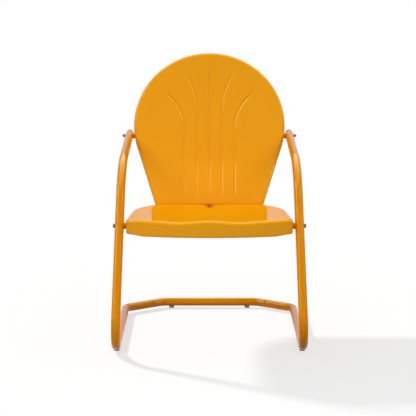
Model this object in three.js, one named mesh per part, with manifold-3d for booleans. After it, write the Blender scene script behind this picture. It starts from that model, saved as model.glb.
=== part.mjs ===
import * as THREE from 'three';
import { mergeVertices } from 'three/addons/utils/BufferGeometryUtils.js';
import Module from 'manifold-3d';

// Retro metal spring lawn chair, in millimetres and degrees.
// The sitter faces -Y, +X is to the right seen from the front, +Z is up, and the feet stand on z = 0.
// Two bent side frames and a rear bar carry a pressed seat and a pressed round back.

// Tube frame
const tubeDiameter = 25.4;
const tubeWall = 1.6;
const trackAtFeet = 517.2;
const inwardLean = 1.1;
const rearwardFlare = 0.7;
const floorBendRadius = 60;
const legRake = 30;
const armBendRadius = 215;
const armBendHeight = 503;
const armRise = 8.8;
const armInward = 0.6;
const armLength = 402;
const runnerLength = 495;
const baseBendRadius = 48;
const rearBarSetback = 96;
const rearBarLength = 300;
const seamFromBarBend = 44;

// Swaged end of each side frame, inside the rear bar
const spigotLength = 30;
const spigotClearance = 0.5;
const spigotTaper = 3;
const spigotRoot = 6;
const seamScrewFromSeam = 16;
const seamScrewDiameter = 4;
const seamScrewHeadDiameter = 8;
const seamScrewHeadHeight = 2.2;
const seamScrewReach = 9;

// Sheet metal
const sheet = 1.5;

// Back
const recline = 19;
const backBoltFromArmEnd = 30;
const backBoltBelowMiddle = 32.2;
const backBoltBehindFace = 14;
const backSpacerLength = 3.7;
const backTaper = 17.5;
const backDish = 14;
const backDishRise = 150;
const backEdgeRadius = 7;
const backLip = 25;
const backCornerRadius = 22;

// Grooves of the back: width and depth of the channel, then where they stand and bend
const grooveWidth = 8;
const grooveDepth = 2.5;
const grooveRunOut = 22;
const grooveFoot = 22;
const innerGrooveSpacing = 39;
const outerGrooveSpacing = 79;
const middleGrooveTop = 186;
const innerGrooveBendHeight = 40;
const innerGrooveBendRadius = 247;
const innerGrooveSweep = 31;
const outerGrooveBendHeight = -8;
const outerGrooveBendRadius = 142;
const outerGrooveSweep = 56;

// Seat
const seatFrontHeight = 365;
const seatSlope = 1.2;
const seatAheadOfBolt = 77.5;
const seatBoltDrop = 21.6;
const seatSpacerLength = 6.3;
const seatFrontBow = 33;
const seatEdgeRadius = 9;
const seatLip = 47;
const seatDish = 13;
const seatThighDip = 4;
const seatFrontCrown = 2.5;
const seatValleyDepth = 9;
const seatValleyWidth = 22;
const seatValleyLength = 70;

// Fasteners
const boltDiameter = 6;
const boltHoleSlack = 0.6;
const boltHeadWidth = 10;
const boltHeadHeight = 4;
const nutWidth = 11;
const nutHeight = 5;
const capNutHeight = 9;
const washerDiameter = 14;
const washerThickness = 1.2;
const spacerDiameter = 18.5;
const joinBoltSpacing = 105;
const joinBoltAboveEdge = 23;

// Feet and end plugs
const glideHeight = 6.5;
const glideDiameter = 16;
const glideStemDiameter = 5;
const glideStemLength = 6;
const glideChamfer = 1;
const frontGlideBack = 14;
const rearGlideSpacing = 243;
const plugStemLength = 20;
const plugDome = 5;
const plugRim = 2;

// Clearance between touching pieces, overrun of cutting tools, and weld distance of vertices
const gap = 0.3;
const overrun = 3;
const weld = 0.0001;

// Facets: sides of round pieces, degrees for each step of a bend, and lengths between stations
const tubeSides = 14;
const smallSides = 10;
const grooveSides = 8;
const domeSteps = 3;
const bendStep = 13;
const cornerStep = 15;
const outlineStep = 38;
const grooveStep = 44;

const radians = THREE.MathUtils.degToRad;
const tubeRadius = tubeDiameter / 2;
const boreRadius = tubeRadius - tubeWall;
const hexCorner = 1 / Math.cos(Math.PI / 6);

// Finishes
const enamel = () => new THREE.MeshStandardMaterial({ color: 0xe6920f, roughness: 0.22, metalness: 0.1 });
const zinc = () => new THREE.MeshStandardMaterial({ color: 0x9a9da0, roughness: 0.35, metalness: 1 });
const nylon = () => new THREE.MeshStandardMaterial({ color: 0x4a443e, roughness: 0.6, metalness: 0 });

// Solids: conversion between three.js geometry and the boolean kernel
const kernel = await Module();
kernel.setup();

function toSolid(geometry) {
  const bare = geometry.clone();
  bare.deleteAttribute('normal');
  bare.deleteAttribute('uv');
  const welded = mergeVertices(bare, weld);
  return new kernel.Manifold(new kernel.Mesh({
    numProp: 3,
    vertProperties: new Float32Array(welded.attributes.position.array),
    triVerts: new Uint32Array(welded.index.array),
  }));
}

function toGeometry(solid) {
  const mesh = solid.getMesh();
  const geometry = new THREE.BufferGeometry();
  geometry.setAttribute('position', new THREE.BufferAttribute(new Float32Array(mesh.vertProperties), 3));
  geometry.setIndex(new THREE.BufferAttribute(new Uint32Array(mesh.triVerts), 1));
  geometry.computeVertexNormals();
  return geometry;
}

function cut(geometry, tools) {
  return toGeometry(tools.reduce((solid, tool) => solid.subtract(toSolid(tool)), toSolid(geometry)));
}

function join(geometry, additions) {
  return toGeometry(additions.reduce((solid, added) => solid.add(toSolid(added)), toSolid(geometry)));
}

// Radius of a tool whose flats clear the tube by the gap all round
const clearOfTube = (tubeRadius + gap) / Math.cos(Math.PI / tubeSides);

// Turned and prismatic pieces, made along +Y and then laid along a direction from a start point
function turned(profile, sides = smallSides) {
  return new THREE.LatheGeometry(profile.map(([radius, height]) => new THREE.Vector2(radius, height)), sides);
}

function hexagon(width, height) {
  const prism = new THREE.CylinderGeometry(width / 2 * hexCorner, width / 2 * hexCorner, height, 6);
  return prism.translate(0, height / 2, 0);
}

function frameAlong(start, direction) {
  const turn = new THREE.Quaternion().setFromUnitVectors(new THREE.Vector3(0, 1, 0), direction);
  return new THREE.Matrix4().compose(start, turn, new THREE.Vector3(1, 1, 1));
}

function rod(start, direction, length, radius, sides = smallSides) {
  const bar = new THREE.CylinderGeometry(radius, radius, length, sides).translate(0, length / 2, 0);
  return bar.applyMatrix4(frameAlong(start, direction));
}

// A straight tool that runs past both ends of what it cuts
function drill(middle, direction, reach, radius, sides = smallSides) {
  return rod(middle.clone().addScaledVector(direction, -reach), direction, 2 * reach, radius, sides);
}

function piece(name, geometry, material, place) {
  const mesh = new THREE.Mesh(geometry, material);
  mesh.name = name;
  if (place) mesh.applyMatrix4(place);
  return mesh;
}

// A path known at chosen stations, each with its point and its tangent
class StationPath extends THREE.Curve {
  constructor(stations = []) {
    super();
    this.stations = stations;
  }

  station(share) {
    return this.stations[Math.round(share * (this.stations.length - 1))];
  }

  getPointAt(share) {
    return this.station(share).point.clone();
  }

  getTangentAt(share) {
    return this.station(share).tangent.clone();
  }
}

// Bent tubes: straight runs between corners, rounded by bends, with stations only where the tube turns
class BentTubePath extends StationPath {
  constructor(corners, bendRadii) {
    super([{ point: corners[0], tangent: corners[1].clone().sub(corners[0]).normalize() }]);
    for (let i = 1; i < corners.length - 1; i++) this.addBend(corners, i, bendRadii[i - 1]);
    const [beforeLast, last] = corners.slice(-2);
    this.stations.push({ point: last, tangent: last.clone().sub(beforeLast).normalize() });
  }

  addBend(corners, index, radius) {
    const into = corners[index].clone().sub(corners[index - 1]).normalize();
    const out = corners[index + 1].clone().sub(corners[index]).normalize();
    const sweep = into.angleTo(out);
    const start = corners[index].clone().addScaledVector(into, -radius * Math.tan(sweep / 2));
    const inward = out.clone().addScaledVector(into, -out.dot(into)).normalize();
    const steps = Math.ceil(sweep / radians(bendStep));
    for (let step = 0; step <= steps; step++) {
      const angle = sweep * step / steps;
      const point = start.clone().addScaledVector(into, radius * Math.sin(angle));
      point.addScaledVector(inward, radius * (1 - Math.cos(angle)));
      const tangent = into.clone().multiplyScalar(Math.cos(angle)).addScaledVector(inward, Math.sin(angle));
      this.stations.push({ point, tangent });
    }
  }
}

function circlePoints(radius, sides) {
  return Array.from({ length: sides }, (_, side) => {
    const angle = 2 * Math.PI * side / sides;
    return new THREE.Vector2(radius * Math.cos(angle), radius * Math.sin(angle));
  });
}

function sweep(path, radius, sides) {
  const section = new THREE.Shape(circlePoints(radius, sides));
  const steps = path.stations.length - 1;
  return new THREE.ExtrudeGeometry(section, { steps, extrudePath: path, bevelEnabled: false });
}

function bentTube(path) {
  const section = new THREE.Shape(circlePoints(tubeRadius, tubeSides));
  section.holes.push(new THREE.Path(circlePoints(boreRadius, tubeSides)));
  const steps = path.stations.length - 1;
  return new THREE.ExtrudeGeometry(section, { steps, extrudePath: path, bevelEnabled: false });
}

// The right side frame leans in towards its top and flares out towards its rear
const across = new THREE.Vector3(1, 0, 0);
const runnerHeight = glideHeight + tubeRadius;

function onFrame(y, z) {
  const lean = (z - runnerHeight) * Math.tan(radians(inwardLean));
  const flare = y * Math.tan(radians(rearwardFlare));
  return new THREE.Vector3(trackAtFeet / 2 - lean + flare, y, z);
}

function mirrored(point) {
  return point.clone().multiply(new THREE.Vector3(-1, 1, 1));
}

// Corners of the side frame, with y = 0 where the floor bend leaves the runner; the armrest turns inwards
const floorCorner = onFrame(-floorBendRadius * Math.tan(radians(90 + legRake) / 2), runnerHeight);
const armCornerY = floorCorner.y + (armBendHeight - runnerHeight) * Math.tan(radians(legRake));
const armCorner = onFrame(armCornerY, armBendHeight);
const armEnd = onFrame(
  armCorner.y + armLength * Math.cos(radians(armRise)),
  armCorner.z + armLength * Math.sin(radians(armRise)),
).addScaledVector(across, -armLength * Math.sin(radians(armInward)));
const armDirection = armEnd.clone().sub(armCorner).normalize();
const legDirection = armCorner.clone().sub(floorCorner).normalize();
const rearCorner = onFrame(runnerLength, runnerHeight);
const barCorner = new THREE.Vector3(rearBarLength / 2, rearCorner.y + rearBarSetback, runnerHeight);
const seamDirection = barCorner.clone().sub(rearCorner).normalize();
const seam = barCorner.clone().addScaledVector(seamDirection, -seamFromBarBend);

// Seat bolt on the leg, back bolt on the armrest
const seatBoltHeight = seatFrontHeight - seatAheadOfBolt * Math.sin(radians(seatSlope)) - seatBoltDrop;
const seatBolt = floorCorner.clone().addScaledVector(
  legDirection,
  (seatBoltHeight - floorCorner.z) / legDirection.z,
);
const backBolt = armEnd.clone().addScaledVector(armDirection, -backBoltFromArmEnd);
const boltHoleRadius = boltDiameter / 2 + boltHoleSlack / 2;

// Tools for the bolt holes, right and left, that run through a tube and through the lip beside it
function boltHoles(bolt) {
  return [bolt, mirrored(bolt)].map((place) => drill(place, across, tubeDiameter, boltHoleRadius));
}

// Half widths of seat and back follow from the tubes, the spacers and the clearances
const seatHalfWidth = seatBolt.x - tubeRadius - seatSpacerLength - 2 * gap;
const backHalfWidthAtBolt = backBolt.x - tubeRadius - backSpacerLength - 2 * gap;
const backRadius = Math.hypot(backHalfWidthAtBolt, backBoltBelowMiddle);

// The back's own frame: u across, v up the panel, w out of its front face, from the middle of the circle
const backUp = new THREE.Vector3(0, Math.sin(radians(recline)), Math.cos(radians(recline)));
const backFront = new THREE.Vector3(0, -Math.cos(radians(recline)), Math.sin(radians(recline)));
const backMiddle = new THREE.Vector3(0, backBolt.y, backBolt.z)
  .addScaledVector(backUp, backBoltBelowMiddle)
  .addScaledVector(backFront, backBoltBehindFace);
const backPlace = new THREE.Matrix4().makeBasis(across, backUp, backFront).setPosition(backMiddle);

// The seat's own frame: x across, y rearwards along the seat, z out of its top, from its front edge
const seatRear = new THREE.Vector3(0, Math.cos(radians(seatSlope)), -Math.sin(radians(seatSlope)));
const seatUp = new THREE.Vector3(0, Math.sin(radians(seatSlope)), Math.cos(radians(seatSlope)));
const seatFront = new THREE.Vector3(0, seatBolt.y, seatBolt.z)
  .addScaledVector(seatUp, seatBoltDrop)
  .addScaledVector(seatRear, -seatAheadOfBolt);
const seatPlace = new THREE.Matrix4().makeBasis(across, seatRear, seatUp).setPosition(seatFront);

// The seat reaches back until its rear lip lies against the front of the back
const seatLipTop = seatFront.clone().addScaledVector(seatUp, -seatEdgeRadius).sub(backMiddle);
const seatDepth = (gap - seatLipTop.dot(backFront)) / seatRear.dot(backFront);
const rearLipLean = radians(recline - seatSlope);

// Height on the back where the seat's rear edge meets it, and the back's lower edge under the lip
const seatLineOnBack = seatFront.clone().addScaledVector(seatRear, seatDepth).sub(backMiddle).dot(backUp);
const backLowerEdge = seatLineOnBack - seatLip;

// Pressed pans: an outline of points, counterclockwise seen from the face, with its own inward normals
function inwardNormals(outline) {
  return outline.map((_, i) => {
    const before = outline[(i + outline.length - 1) % outline.length];
    const after = outline[(i + 1) % outline.length];
    return new THREE.Vector2(before.y - after.y, after.x - before.x).normalize();
  });
}

// One skin of a pan as rings from the free edge of the lip, which lies in one plane, over the rolled edge to
// its upright middle line
function panSkin(pan, inset) {
  const { outline, middleLine, lip, edgeRadius, face, rearLimit, rolledSteps, ringShares } = pan;
  const normals = inwardNormals(outline);
  const lipRing = (side, heightAt) => outline.map((point, i) => {
    const flat = point.clone().addScaledVector(normals[i], side);
    const height = heightAt(point);
    return new THREE.Vector3(flat.x, Math.min(flat.y, rearLimit(height, inset)), height);
  });
  const rings = [lipRing(inset, () => -lip)];
  const roundRadius = edgeRadius - inset;
  for (let step = 0; step < rolledSteps; step++) {
    const angle = Math.PI / 2 * step / rolledSteps;
    const [side, rise] = [roundRadius * Math.cos(angle), roundRadius * Math.sin(angle)];
    rings.push(lipRing(edgeRadius - side, (point) => face(point) - edgeRadius + rise));
  }
  const rim = outline.map((point, i) => point.clone().addScaledVector(normals[i], edgeRadius));
  for (const share of ringShares) {
    rings.push(rim.map((point) => {
      const flat = new THREE.Vector2(0, THREE.MathUtils.clamp(point.y, ...middleLine)).lerp(point, share);
      return new THREE.Vector3(flat.x, flat.y, face(flat) - inset);
    }));
  }
  return rings;
}

// Two skins of like rings, which shrink to a line, closed along their outermost ring
function closeSkins(top, under) {
  const positions = [];
  const triangle = (a, b, c) => {
    if (a.equals(b) || b.equals(c) || c.equals(a)) return;
    for (const corner of [a, b, c]) positions.push(corner.x, corner.y, corner.z);
  };
  const quad = (a, b, c, d) => {
    triangle(a, b, c);
    triangle(a, c, d);
  };
  const count = top[0].length;
  for (let i = 0; i < count; i++) {
    const j = (i + 1) % count;
    for (let ring = 0; ring + 1 < top.length; ring++) {
      quad(top[ring][i], top[ring][j], top[ring + 1][j], top[ring + 1][i]);
      quad(under[ring][j], under[ring][i], under[ring + 1][i], under[ring + 1][j]);
    }
    quad(top[0][i], under[0][i], under[0][j], top[0][j]);
  }
  const geometry = new THREE.BufferGeometry();
  geometry.setAttribute('position', new THREE.BufferAttribute(new Float32Array(positions), 3));
  return geometry;
}

function pressedPan(pan) {
  return closeSkins(panSkin(pan, 0), panSkin(pan, sheet));
}

// The room in front of a pan, from the middle of its sheet forwards and past its outline all round
function roomInFront(pan, reach) {
  const face = panSkin(pan, sheet / 2).slice(1 + pan.rolledSteps);
  const grown = grownOutline(pan.outline, overrun);
  const under = [grown.map((point, i) => new THREE.Vector3(point.x, point.y, face[0][i].z)), ...face];
  return closeSkins(under.map((ring) => ring.map((v) => v.clone().setZ(reach))), under);
}

// Points along a path: curves by their turning, straight lines by their length, without its last point
function walk(path) {
  return path.curves.flatMap((curve) => {
    const turning = curve.getTangent(0).angleTo(curve.getTangent(1));
    const needed = Math.max(curve.getLength() / outlineStep, turning / radians(cornerStep));
    const steps = Math.max(1, Math.ceil(needed));
    return Array.from({ length: steps }, (_, step) => curve.getPoint(step / steps));
  });
}

// An outline from its right half, which runs from the middle of the lower edge to the middle of the upper
function wholeOutline(halfPath) {
  const right = walk(halfPath);
  const left = [...right, halfPath.getPoint(1)].slice(1).reverse().map((point) => point.clone());
  left.forEach((point) => point.setX(-point.x));
  return [...right, ...left];
}

function grownOutline(outline, growth) {
  const normals = inwardNormals(outline);
  return outline.map((point, i) => point.clone().addScaledVector(normals[i], -growth));
}

// A prism of an outline grown outwards, which trims what seats against a pan's lip
function outlinePrism(outline, growth, reach) {
  const section = new THREE.Shape(grownOutline(outline, growth));
  const prism = new THREE.ExtrudeGeometry(section, { depth: 2 * reach, bevelEnabled: false });
  return prism.translate(0, 0, -reach);
}

// Seat outline, by shares of its half width and of its depth; its sides run parallel past the bolts
const seatLineShares = [0.25, 0.8];
const seatRingShares = [1, 0.9, 0.72, 0.48, 0.24, 0];
const frontCornerShares = { width: 0.8, bend: 0.5 };
const sideEndShares = { width: 0.978, depth: 0.62 };
const sweepBendShares = { width: 0.962, depth: 0.86 };
const rearCornerShares = { width: 0.735, depth: 0.968 };
const rearEdgeShare = 0.62;

function seatOutline() {
  const w = seatHalfWidth;
  const d = seatDepth;
  const frontCornerX = w * frontCornerShares.width;
  const rise = seatFrontBow / (1 - frontCornerShares.bend) / frontCornerX;
  const path = new THREE.Path();
  path.moveTo(0, 0);
  path.quadraticCurveTo(frontCornerX * frontCornerShares.bend, 0, frontCornerX, seatFrontBow);
  const parallelHalf = spacerDiameter / 2 + overrun;
  path.quadraticCurveTo(w, seatFrontBow + (w - frontCornerX) * rise, w, seatAheadOfBolt - parallelHalf);
  path.lineTo(w, seatAheadOfBolt + parallelHalf);
  path.lineTo(w * sideEndShares.width, d * sideEndShares.depth);
  path.quadraticCurveTo(
    w * sweepBendShares.width, d * sweepBendShares.depth,
    w * rearCornerShares.width, d * rearCornerShares.depth,
  );
  path.quadraticCurveTo(w * (rearCornerShares.width + rearEdgeShare) / 2, d, w * rearEdgeShare, d);
  path.lineTo(seatValleyWidth, d);
  path.lineTo(0, d);
  return wholeOutline(path);
}

// Height of the seat's face: dished, with two thigh hollows, a crown between them and a rear valley
const dishPeakShare = 0.6;
const thighShares = { place: 0.36, width: 0.24 };
const crownShare = 0.2;

function seatFace(point) {
  const x = point.x / seatHalfWidth;
  const y = THREE.MathUtils.clamp(point.y / seatDepth, 0, 1);
  const hump = (offset, width) => Math.exp(-((offset / width) ** 2));
  const along = Math.sin(Math.PI * y ** (Math.LN2 / -Math.log(dishPeakShare)));
  const dish = -seatDish * Math.max(1 - x * x, 0) * along;
  const thighs = -seatThighDip * hump(Math.abs(x) - thighShares.place, thighShares.width) * (1 - y);
  const crown = seatFrontCrown * hump(x, crownShare) * (1 - y) ** 2;
  const rearward = THREE.MathUtils.smoothstep(point.y, seatDepth - seatValleyLength, seatDepth);
  const valley = -seatValleyDepth * hump(point.x, seatValleyWidth) * rearward;
  return dish + thighs + crown + valley;
}

// Back outline: most of a circle, straight tapers that leave it at a tangent, and rounded lower corners
function backOutline() {
  const taper = radians(backTaper);
  const leave = new THREE.Vector2(Math.cos(taper), -Math.sin(taper)).multiplyScalar(backRadius);
  const cornerX = leave.x - (leave.y - backLowerEdge) * Math.tan(taper);
  const cornerRun = backCornerRadius * Math.tan((Math.PI / 2 - taper) / 2);
  const path = new THREE.Path();
  path.moveTo(0, backLowerEdge);
  path.lineTo(cornerX - cornerRun, backLowerEdge);
  path.quadraticCurveTo(
    cornerX, backLowerEdge,
    cornerX + cornerRun * Math.sin(taper), backLowerEdge + cornerRun * Math.cos(taper),
  );
  path.lineTo(leave.x, leave.y);
  path.absarc(0, 0, backRadius, -taper, Math.PI / 2, false);
  return wholeOutline(path);
}

// The back is dished inside its circle, about an upright line below the middle, and flat at the seat
const backLineShares = { low: 0.8, high: 0.5 };
const backRingShares = [1, 0.8, 0.55, 0.28, 0];

function backFace(point) {
  const fromMiddle = Math.hypot(point.x, Math.max(point.y, 0)) / backRadius;
  const upward = THREE.MathUtils.smoothstep(point.y, seatLineOnBack, seatLineOnBack + backDishRise);
  return -backDish * Math.max(1 - fromMiddle ** 2, 0) * upward;
}

// Pressed grooves: a channel swept along the face, with a ridge of one sheet thickness behind it
const channelRadius = (grooveWidth ** 2 / 4 + grooveDepth ** 2) / (2 * grooveDepth);

function groovePath(offset, bendHeight, bendRadius, sweepDegrees, top) {
  const foot = seatLineOnBack + grooveFoot;
  const side = Math.sign(offset);
  const plan = new THREE.Path();
  plan.moveTo(offset, foot);
  plan.lineTo(offset, bendRadius ? bendHeight : top);
  if (bendRadius) {
    const start = side > 0 ? Math.PI : 0;
    const end = start - side * radians(sweepDegrees);
    plan.absarc(offset + side * bendRadius, bendHeight, bendRadius, start, end, side > 0);
  }
  return new StationPath(grooveStations(plan));
}

// Stations of a channel, whose two ends rise out of the face over the run out
function grooveStations(plan) {
  const length = plan.getLength();
  const inner = length - 2 * grooveRunOut;
  const steps = Math.ceil(inner / grooveStep);
  const between = Array.from({ length: steps + 1 }, (_, step) => grooveRunOut + inner * step / steps);
  const places = [0, ...between, length];
  const points = places.map((place, i) => {
    const flat = plan.getPointAt(place / length);
    const lift = i === 0 || i === places.length - 1 ? grooveDepth + gap : 0;
    return new THREE.Vector3(flat.x, flat.y, backFace(flat) + channelRadius - grooveDepth + lift);
  });
  return points.map((point, i) => {
    const before = points[Math.max(i - 1, 0)];
    const after = points[Math.min(i + 1, points.length - 1)];
    return { point, tangent: after.clone().sub(before).normalize() };
  });
}

const groovePaths = [
  groovePath(0, 0, 0, 0, middleGrooveTop),
  ...[1, -1].flatMap((side) => [
    groovePath(side * innerGrooveSpacing, innerGrooveBendHeight, innerGrooveBendRadius, innerGrooveSweep),
    groovePath(side * outerGrooveSpacing, outerGrooveBendHeight, outerGrooveBendRadius, outerGrooveSweep),
  ]),
];

// Places that screws and bolts share
const joinBoltHeight = backLowerEdge + joinBoltAboveEdge;
const joinPlaces = [-joinBoltSpacing, 0, joinBoltSpacing].map((u) => new THREE.Vector3(u, joinBoltHeight, 0)
  .applyMatrix4(backPlace));

function backPanel() {
  const pan = {
    outline: backOutline(),
    middleLine: [backLowerEdge * backLineShares.low, backRadius * backLineShares.high],
    lip: backLip,
    edgeRadius: backEdgeRadius,
    face: backFace,
    rearLimit: () => Infinity,
    rolledSteps: 3,
    ringShares: backRingShares,
  };
  const behind = toSolid(outlinePrism(pan.outline, -backEdgeRadius, backLip))
    .subtract(toSolid(roomInFront(pan, 2 * backLip)));
  const swept = (radius) => groovePaths.map((path) => toSolid(sweep(path, radius, grooveSides)));
  const ridges = swept(channelRadius + sheet).map((ridge) => ridge.intersect(behind));
  const ridged = ridges.reduce((solid, ridge) => solid.add(ridge), toSolid(pressedPan(pan)));
  const grooved = swept(channelRadius).reduce((solid, channel) => solid.subtract(channel), ridged);
  const panel = toGeometry(grooved).applyMatrix4(backPlace);
  const joinHoles = joinPlaces.map((place) => drill(place, backFront, backLip, boltHoleRadius));
  return cut(panel, [...boltHoles(backBolt), ...joinHoles]);
}

function seatPan() {
  const pan = pressedPan({
    outline: seatOutline(),
    middleLine: seatLineShares.map((share) => seatDepth * share),
    lip: seatLip,
    edgeRadius: seatEdgeRadius,
    face: seatFace,
    rearLimit: (height, inset) => (
      seatDepth + (height + seatEdgeRadius) * Math.tan(rearLipLean) - inset / Math.cos(rearLipLean)
    ),
    rolledSteps: 3,
    ringShares: seatRingShares,
  });
  const joinHoles = joinPlaces.map((place) => drill(place, backFront, seatLip / 2, boltHoleRadius));
  return cut(pan.applyMatrix4(seatPlace), [...boltHoles(seatBolt), ...joinHoles]);
}

// Side frames and rear bar
const sideCorners = [armEnd, armCorner, floorCorner, rearCorner, seam];
const sideBends = [armBendRadius, floorBendRadius, baseBendRadius];
const spigotRadius = boreRadius * Math.cos(Math.PI / tubeSides) - spigotClearance / 2;

function spigot(start, direction) {
  const rootRadius = tubeRadius - tubeWall / 2;
  const innerRadius = spigotRadius - tubeWall;
  const profile = [
    [innerRadius, -spigotRoot], [rootRadius, -spigotRoot], [rootRadius, spigotTaper / 2],
    [spigotRadius, spigotTaper], [spigotRadius, spigotLength], [innerRadius, spigotLength],
    [innerRadius, -spigotRoot],
  ];
  return turned(profile, tubeSides).applyMatrix4(frameAlong(start, direction));
}

const frontGlide = onFrame(frontGlideBack, 0);
const rearGlide = new THREE.Vector3(rearGlideSpacing / 2, barCorner.y, 0);
const up = new THREE.Vector3(0, 0, 1);

// A hole in the underside of a tube for the stem of a glide
function glideHole(glide) {
  return rod(glide, up, glideHeight + tubeRadius, glideStemDiameter / 2 + gap);
}

// The seam screw sits on the front of the bar, square to the tube
const seamScrewPlace = seam.clone().addScaledVector(seamDirection, seamScrewFromSeam);
const seamScrewOut = new THREE.Vector3().crossVectors(seamDirection, up).multiplyScalar(-1).normalize();

function screwHole(flip) {
  const place = flip(seamScrewPlace.clone());
  const out = flip(seamScrewOut.clone());
  return rod(place, out, tubeDiameter, seamScrewDiameter / 2 + gap);
}

function sideFrame(flip) {
  const path = new BentTubePath(sideCorners.map(flip), sideBends);
  const tube = bentTube(path);
  const swaged = join(tube, [spigot(flip(seam), flip(seamDirection))]);
  return cut(swaged, [
    drill(flip(seatBolt), across, tubeDiameter, boltHoleRadius),
    drill(flip(backBolt), across, tubeDiameter, boltHoleRadius),
    glideHole(flip(frontGlide)),
    screwHole(flip),
  ]);
}

function rearBar() {
  const end = seam.clone().addScaledVector(seamDirection, gap + spigotTaper);
  const corners = [end, barCorner, mirrored(barCorner), mirrored(end)];
  const tube = bentTube(new BentTubePath(corners, [baseBendRadius, baseBendRadius]));
  const same = (v) => v;
  return cut(tube, [
    glideHole(rearGlide), glideHole(mirrored(rearGlide)),
    screwHole(same), screwHole(mirrored),
  ]);
}

// Spacers are turned rings whose ends are trimmed to the tube and to the lip that they seat against
function spacer(bolt, alongTube, lipPrism) {
  const length = bolt.x;
  const outer = spacerDiameter / 2;
  const inner = boltHoleRadius;
  const profile = [[inner, 0], [outer, 0], [outer, length], [inner, length], [inner, 0]];
  const ring = turned(profile, tubeSides).applyMatrix4(
    frameAlong(new THREE.Vector3(0, bolt.y, bolt.z), across),
  );
  const tubeTool = drill(bolt, alongTube, 2 * spacerDiameter, clearOfTube, tubeSides);
  return cut(ring, [tubeTool, lipPrism]);
}

// Bolts run outwards along X from a hexagonal head inside the lip to a nut outside the tube
function hexBolt(grip) {
  const start = new THREE.Vector3(0, -boltHeadHeight / 2, 0);
  const shank = rod(start, new THREE.Vector3(0, 1, 0), grip - start.y, boltDiameter / 2);
  return join(hexagon(boltHeadWidth, boltHeadHeight).translate(0, -boltHeadHeight, 0), [shank]);
}

// Washers are turned rings trimmed to the inside of the lip that they bear on
function washer(bolt, face, insidePrism) {
  const [inner, outer] = [boltHoleRadius, washerDiameter / 2];
  const length = bolt.x - face;
  const ring = turned([[inner, 0], [outer, 0], [outer, length], [inner, length], [inner, 0]], tubeSides);
  ring.applyMatrix4(frameAlong(bolt.clone().setX(face), across));
  return toGeometry(toSolid(ring).intersect(toSolid(insidePrism)));
}

function hexNut() {
  return cut(hexagon(nutWidth, nutHeight), [
    new THREE.CylinderGeometry(boltHoleRadius, boltHoleRadius, 3 * nutHeight, smallSides),
  ]);
}

// A low dome as a profile: from its rim, which stands at a height, up to its top on the axis
function domeProfile(radius, height, rise) {
  const points = Array.from({ length: domeSteps }, (_, step) => {
    const angle = Math.PI / 2 * step / domeSteps;
    return [radius * Math.cos(angle), height + rise * Math.sin(angle)];
  });
  return [...points, [0, height + rise]];
}

// A cap nut: hexagonal foot, domed cap, and a blind bore with room for the bolt's end
const capRadiusShare = 0.92;
const capFootShare = 0.8;

function capNut() {
  const domeRadius = nutWidth / 2 * capRadiusShare;
  const domeStart = nutHeight * capFootShare;
  const dome = domeProfile(domeRadius, domeStart, capNutHeight - domeStart);
  const profile = [[0, domeStart / 2], [domeRadius, domeStart / 2], ...dome];
  const body = join(hexagon(nutWidth, domeStart), [turned(profile)]);
  const bore = new THREE.CylinderGeometry(boltHoleRadius, boltHoleRadius, 2 * nutHeight, smallSides);
  return cut(body, [bore]);
}

// Glide: a round foot trimmed under the tube, with a stem pressed into the hole above it
function glide(place, alongTube) {
  const radius = glideDiameter / 2;
  const bodyHeight = glideHeight + tubeRadius;
  const puck = turned([
    [0, 0], [radius - glideChamfer, 0], [radius, glideChamfer], [radius, bodyHeight], [0, bodyHeight],
  ], tubeSides).rotateX(Math.PI / 2).applyMatrix4(new THREE.Matrix4().setPosition(place));
  const axis = place.clone().setZ(runnerHeight);
  const saddle = drill(axis, alongTube, glideDiameter, clearOfTube, tubeSides);
  const stemTop = glideHeight + glideStemLength;
  const stem = rod(place.clone().setZ(glideHeight / 2), up, stemTop - glideHeight / 2, glideStemDiameter / 2);
  return join(cut(puck, [saddle]), [stem]);
}

// Plug of an armrest end: stem in the bore, rim over the wall, low dome
function endPlug() {
  const stemRadius = boreRadius * Math.cos(Math.PI / tubeSides) - gap;
  return turned([
    [0, -plugStemLength], [stemRadius, -plugStemLength], [stemRadius, gap], [tubeRadius, gap],
    ...domeProfile(tubeRadius, gap + plugRim, plugDome),
  ], tubeSides);
}

// Small pan-head screw of a base seam
function seamScrew() {
  const shank = [[0, -seamScrewReach], [seamScrewDiameter / 2, -seamScrewReach], [seamScrewDiameter / 2, 0]];
  return turned([...shank, ...domeProfile(seamScrewHeadDiameter / 2, 0, seamScrewHeadHeight)]);
}

// Assembly
const chair = new THREE.Group();

const hands = [
  { side: 'right', sign: 1, flip: (v) => v.clone() },
  { side: 'left', sign: -1, flip: mirrored },
];

// What each pan gives its two bolts: how far the lip slopes under a washer, and prisms that trim to it
const mounts = {
  seat: {
    bolt: seatBolt,
    alongTube: legDirection,
    lipInside: seatHalfWidth - sheet,
    slope: 0,
    outside: outlinePrism(seatOutline(), gap, 2 * seatLip).applyMatrix4(seatPlace),
    inside: outlinePrism(seatOutline(), -sheet - gap, 2 * seatLip).applyMatrix4(seatPlace),
    nut: hexNut,
  },
  back: {
    bolt: backBolt,
    alongTube: armDirection,
    lipInside: backHalfWidthAtBolt - sheet,
    slope: washerDiameter / 2 * backBoltBelowMiddle / backRadius + outlineStep ** 2 / backRadius / 8,
    outside: outlinePrism(backOutline(), gap, 2 * backLip).applyMatrix4(backPlace),
    inside: outlinePrism(backOutline(), -sheet - gap, 2 * backLip).applyMatrix4(backPlace),
    nut: capNut,
  },
};

function mirrorGeometry(geometry) {
  const mirror = geometry.clone().scale(-1, 1, 1);
  mirror.index.array.reverse();
  mirror.computeVertexNormals();
  return mirror;
}

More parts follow.
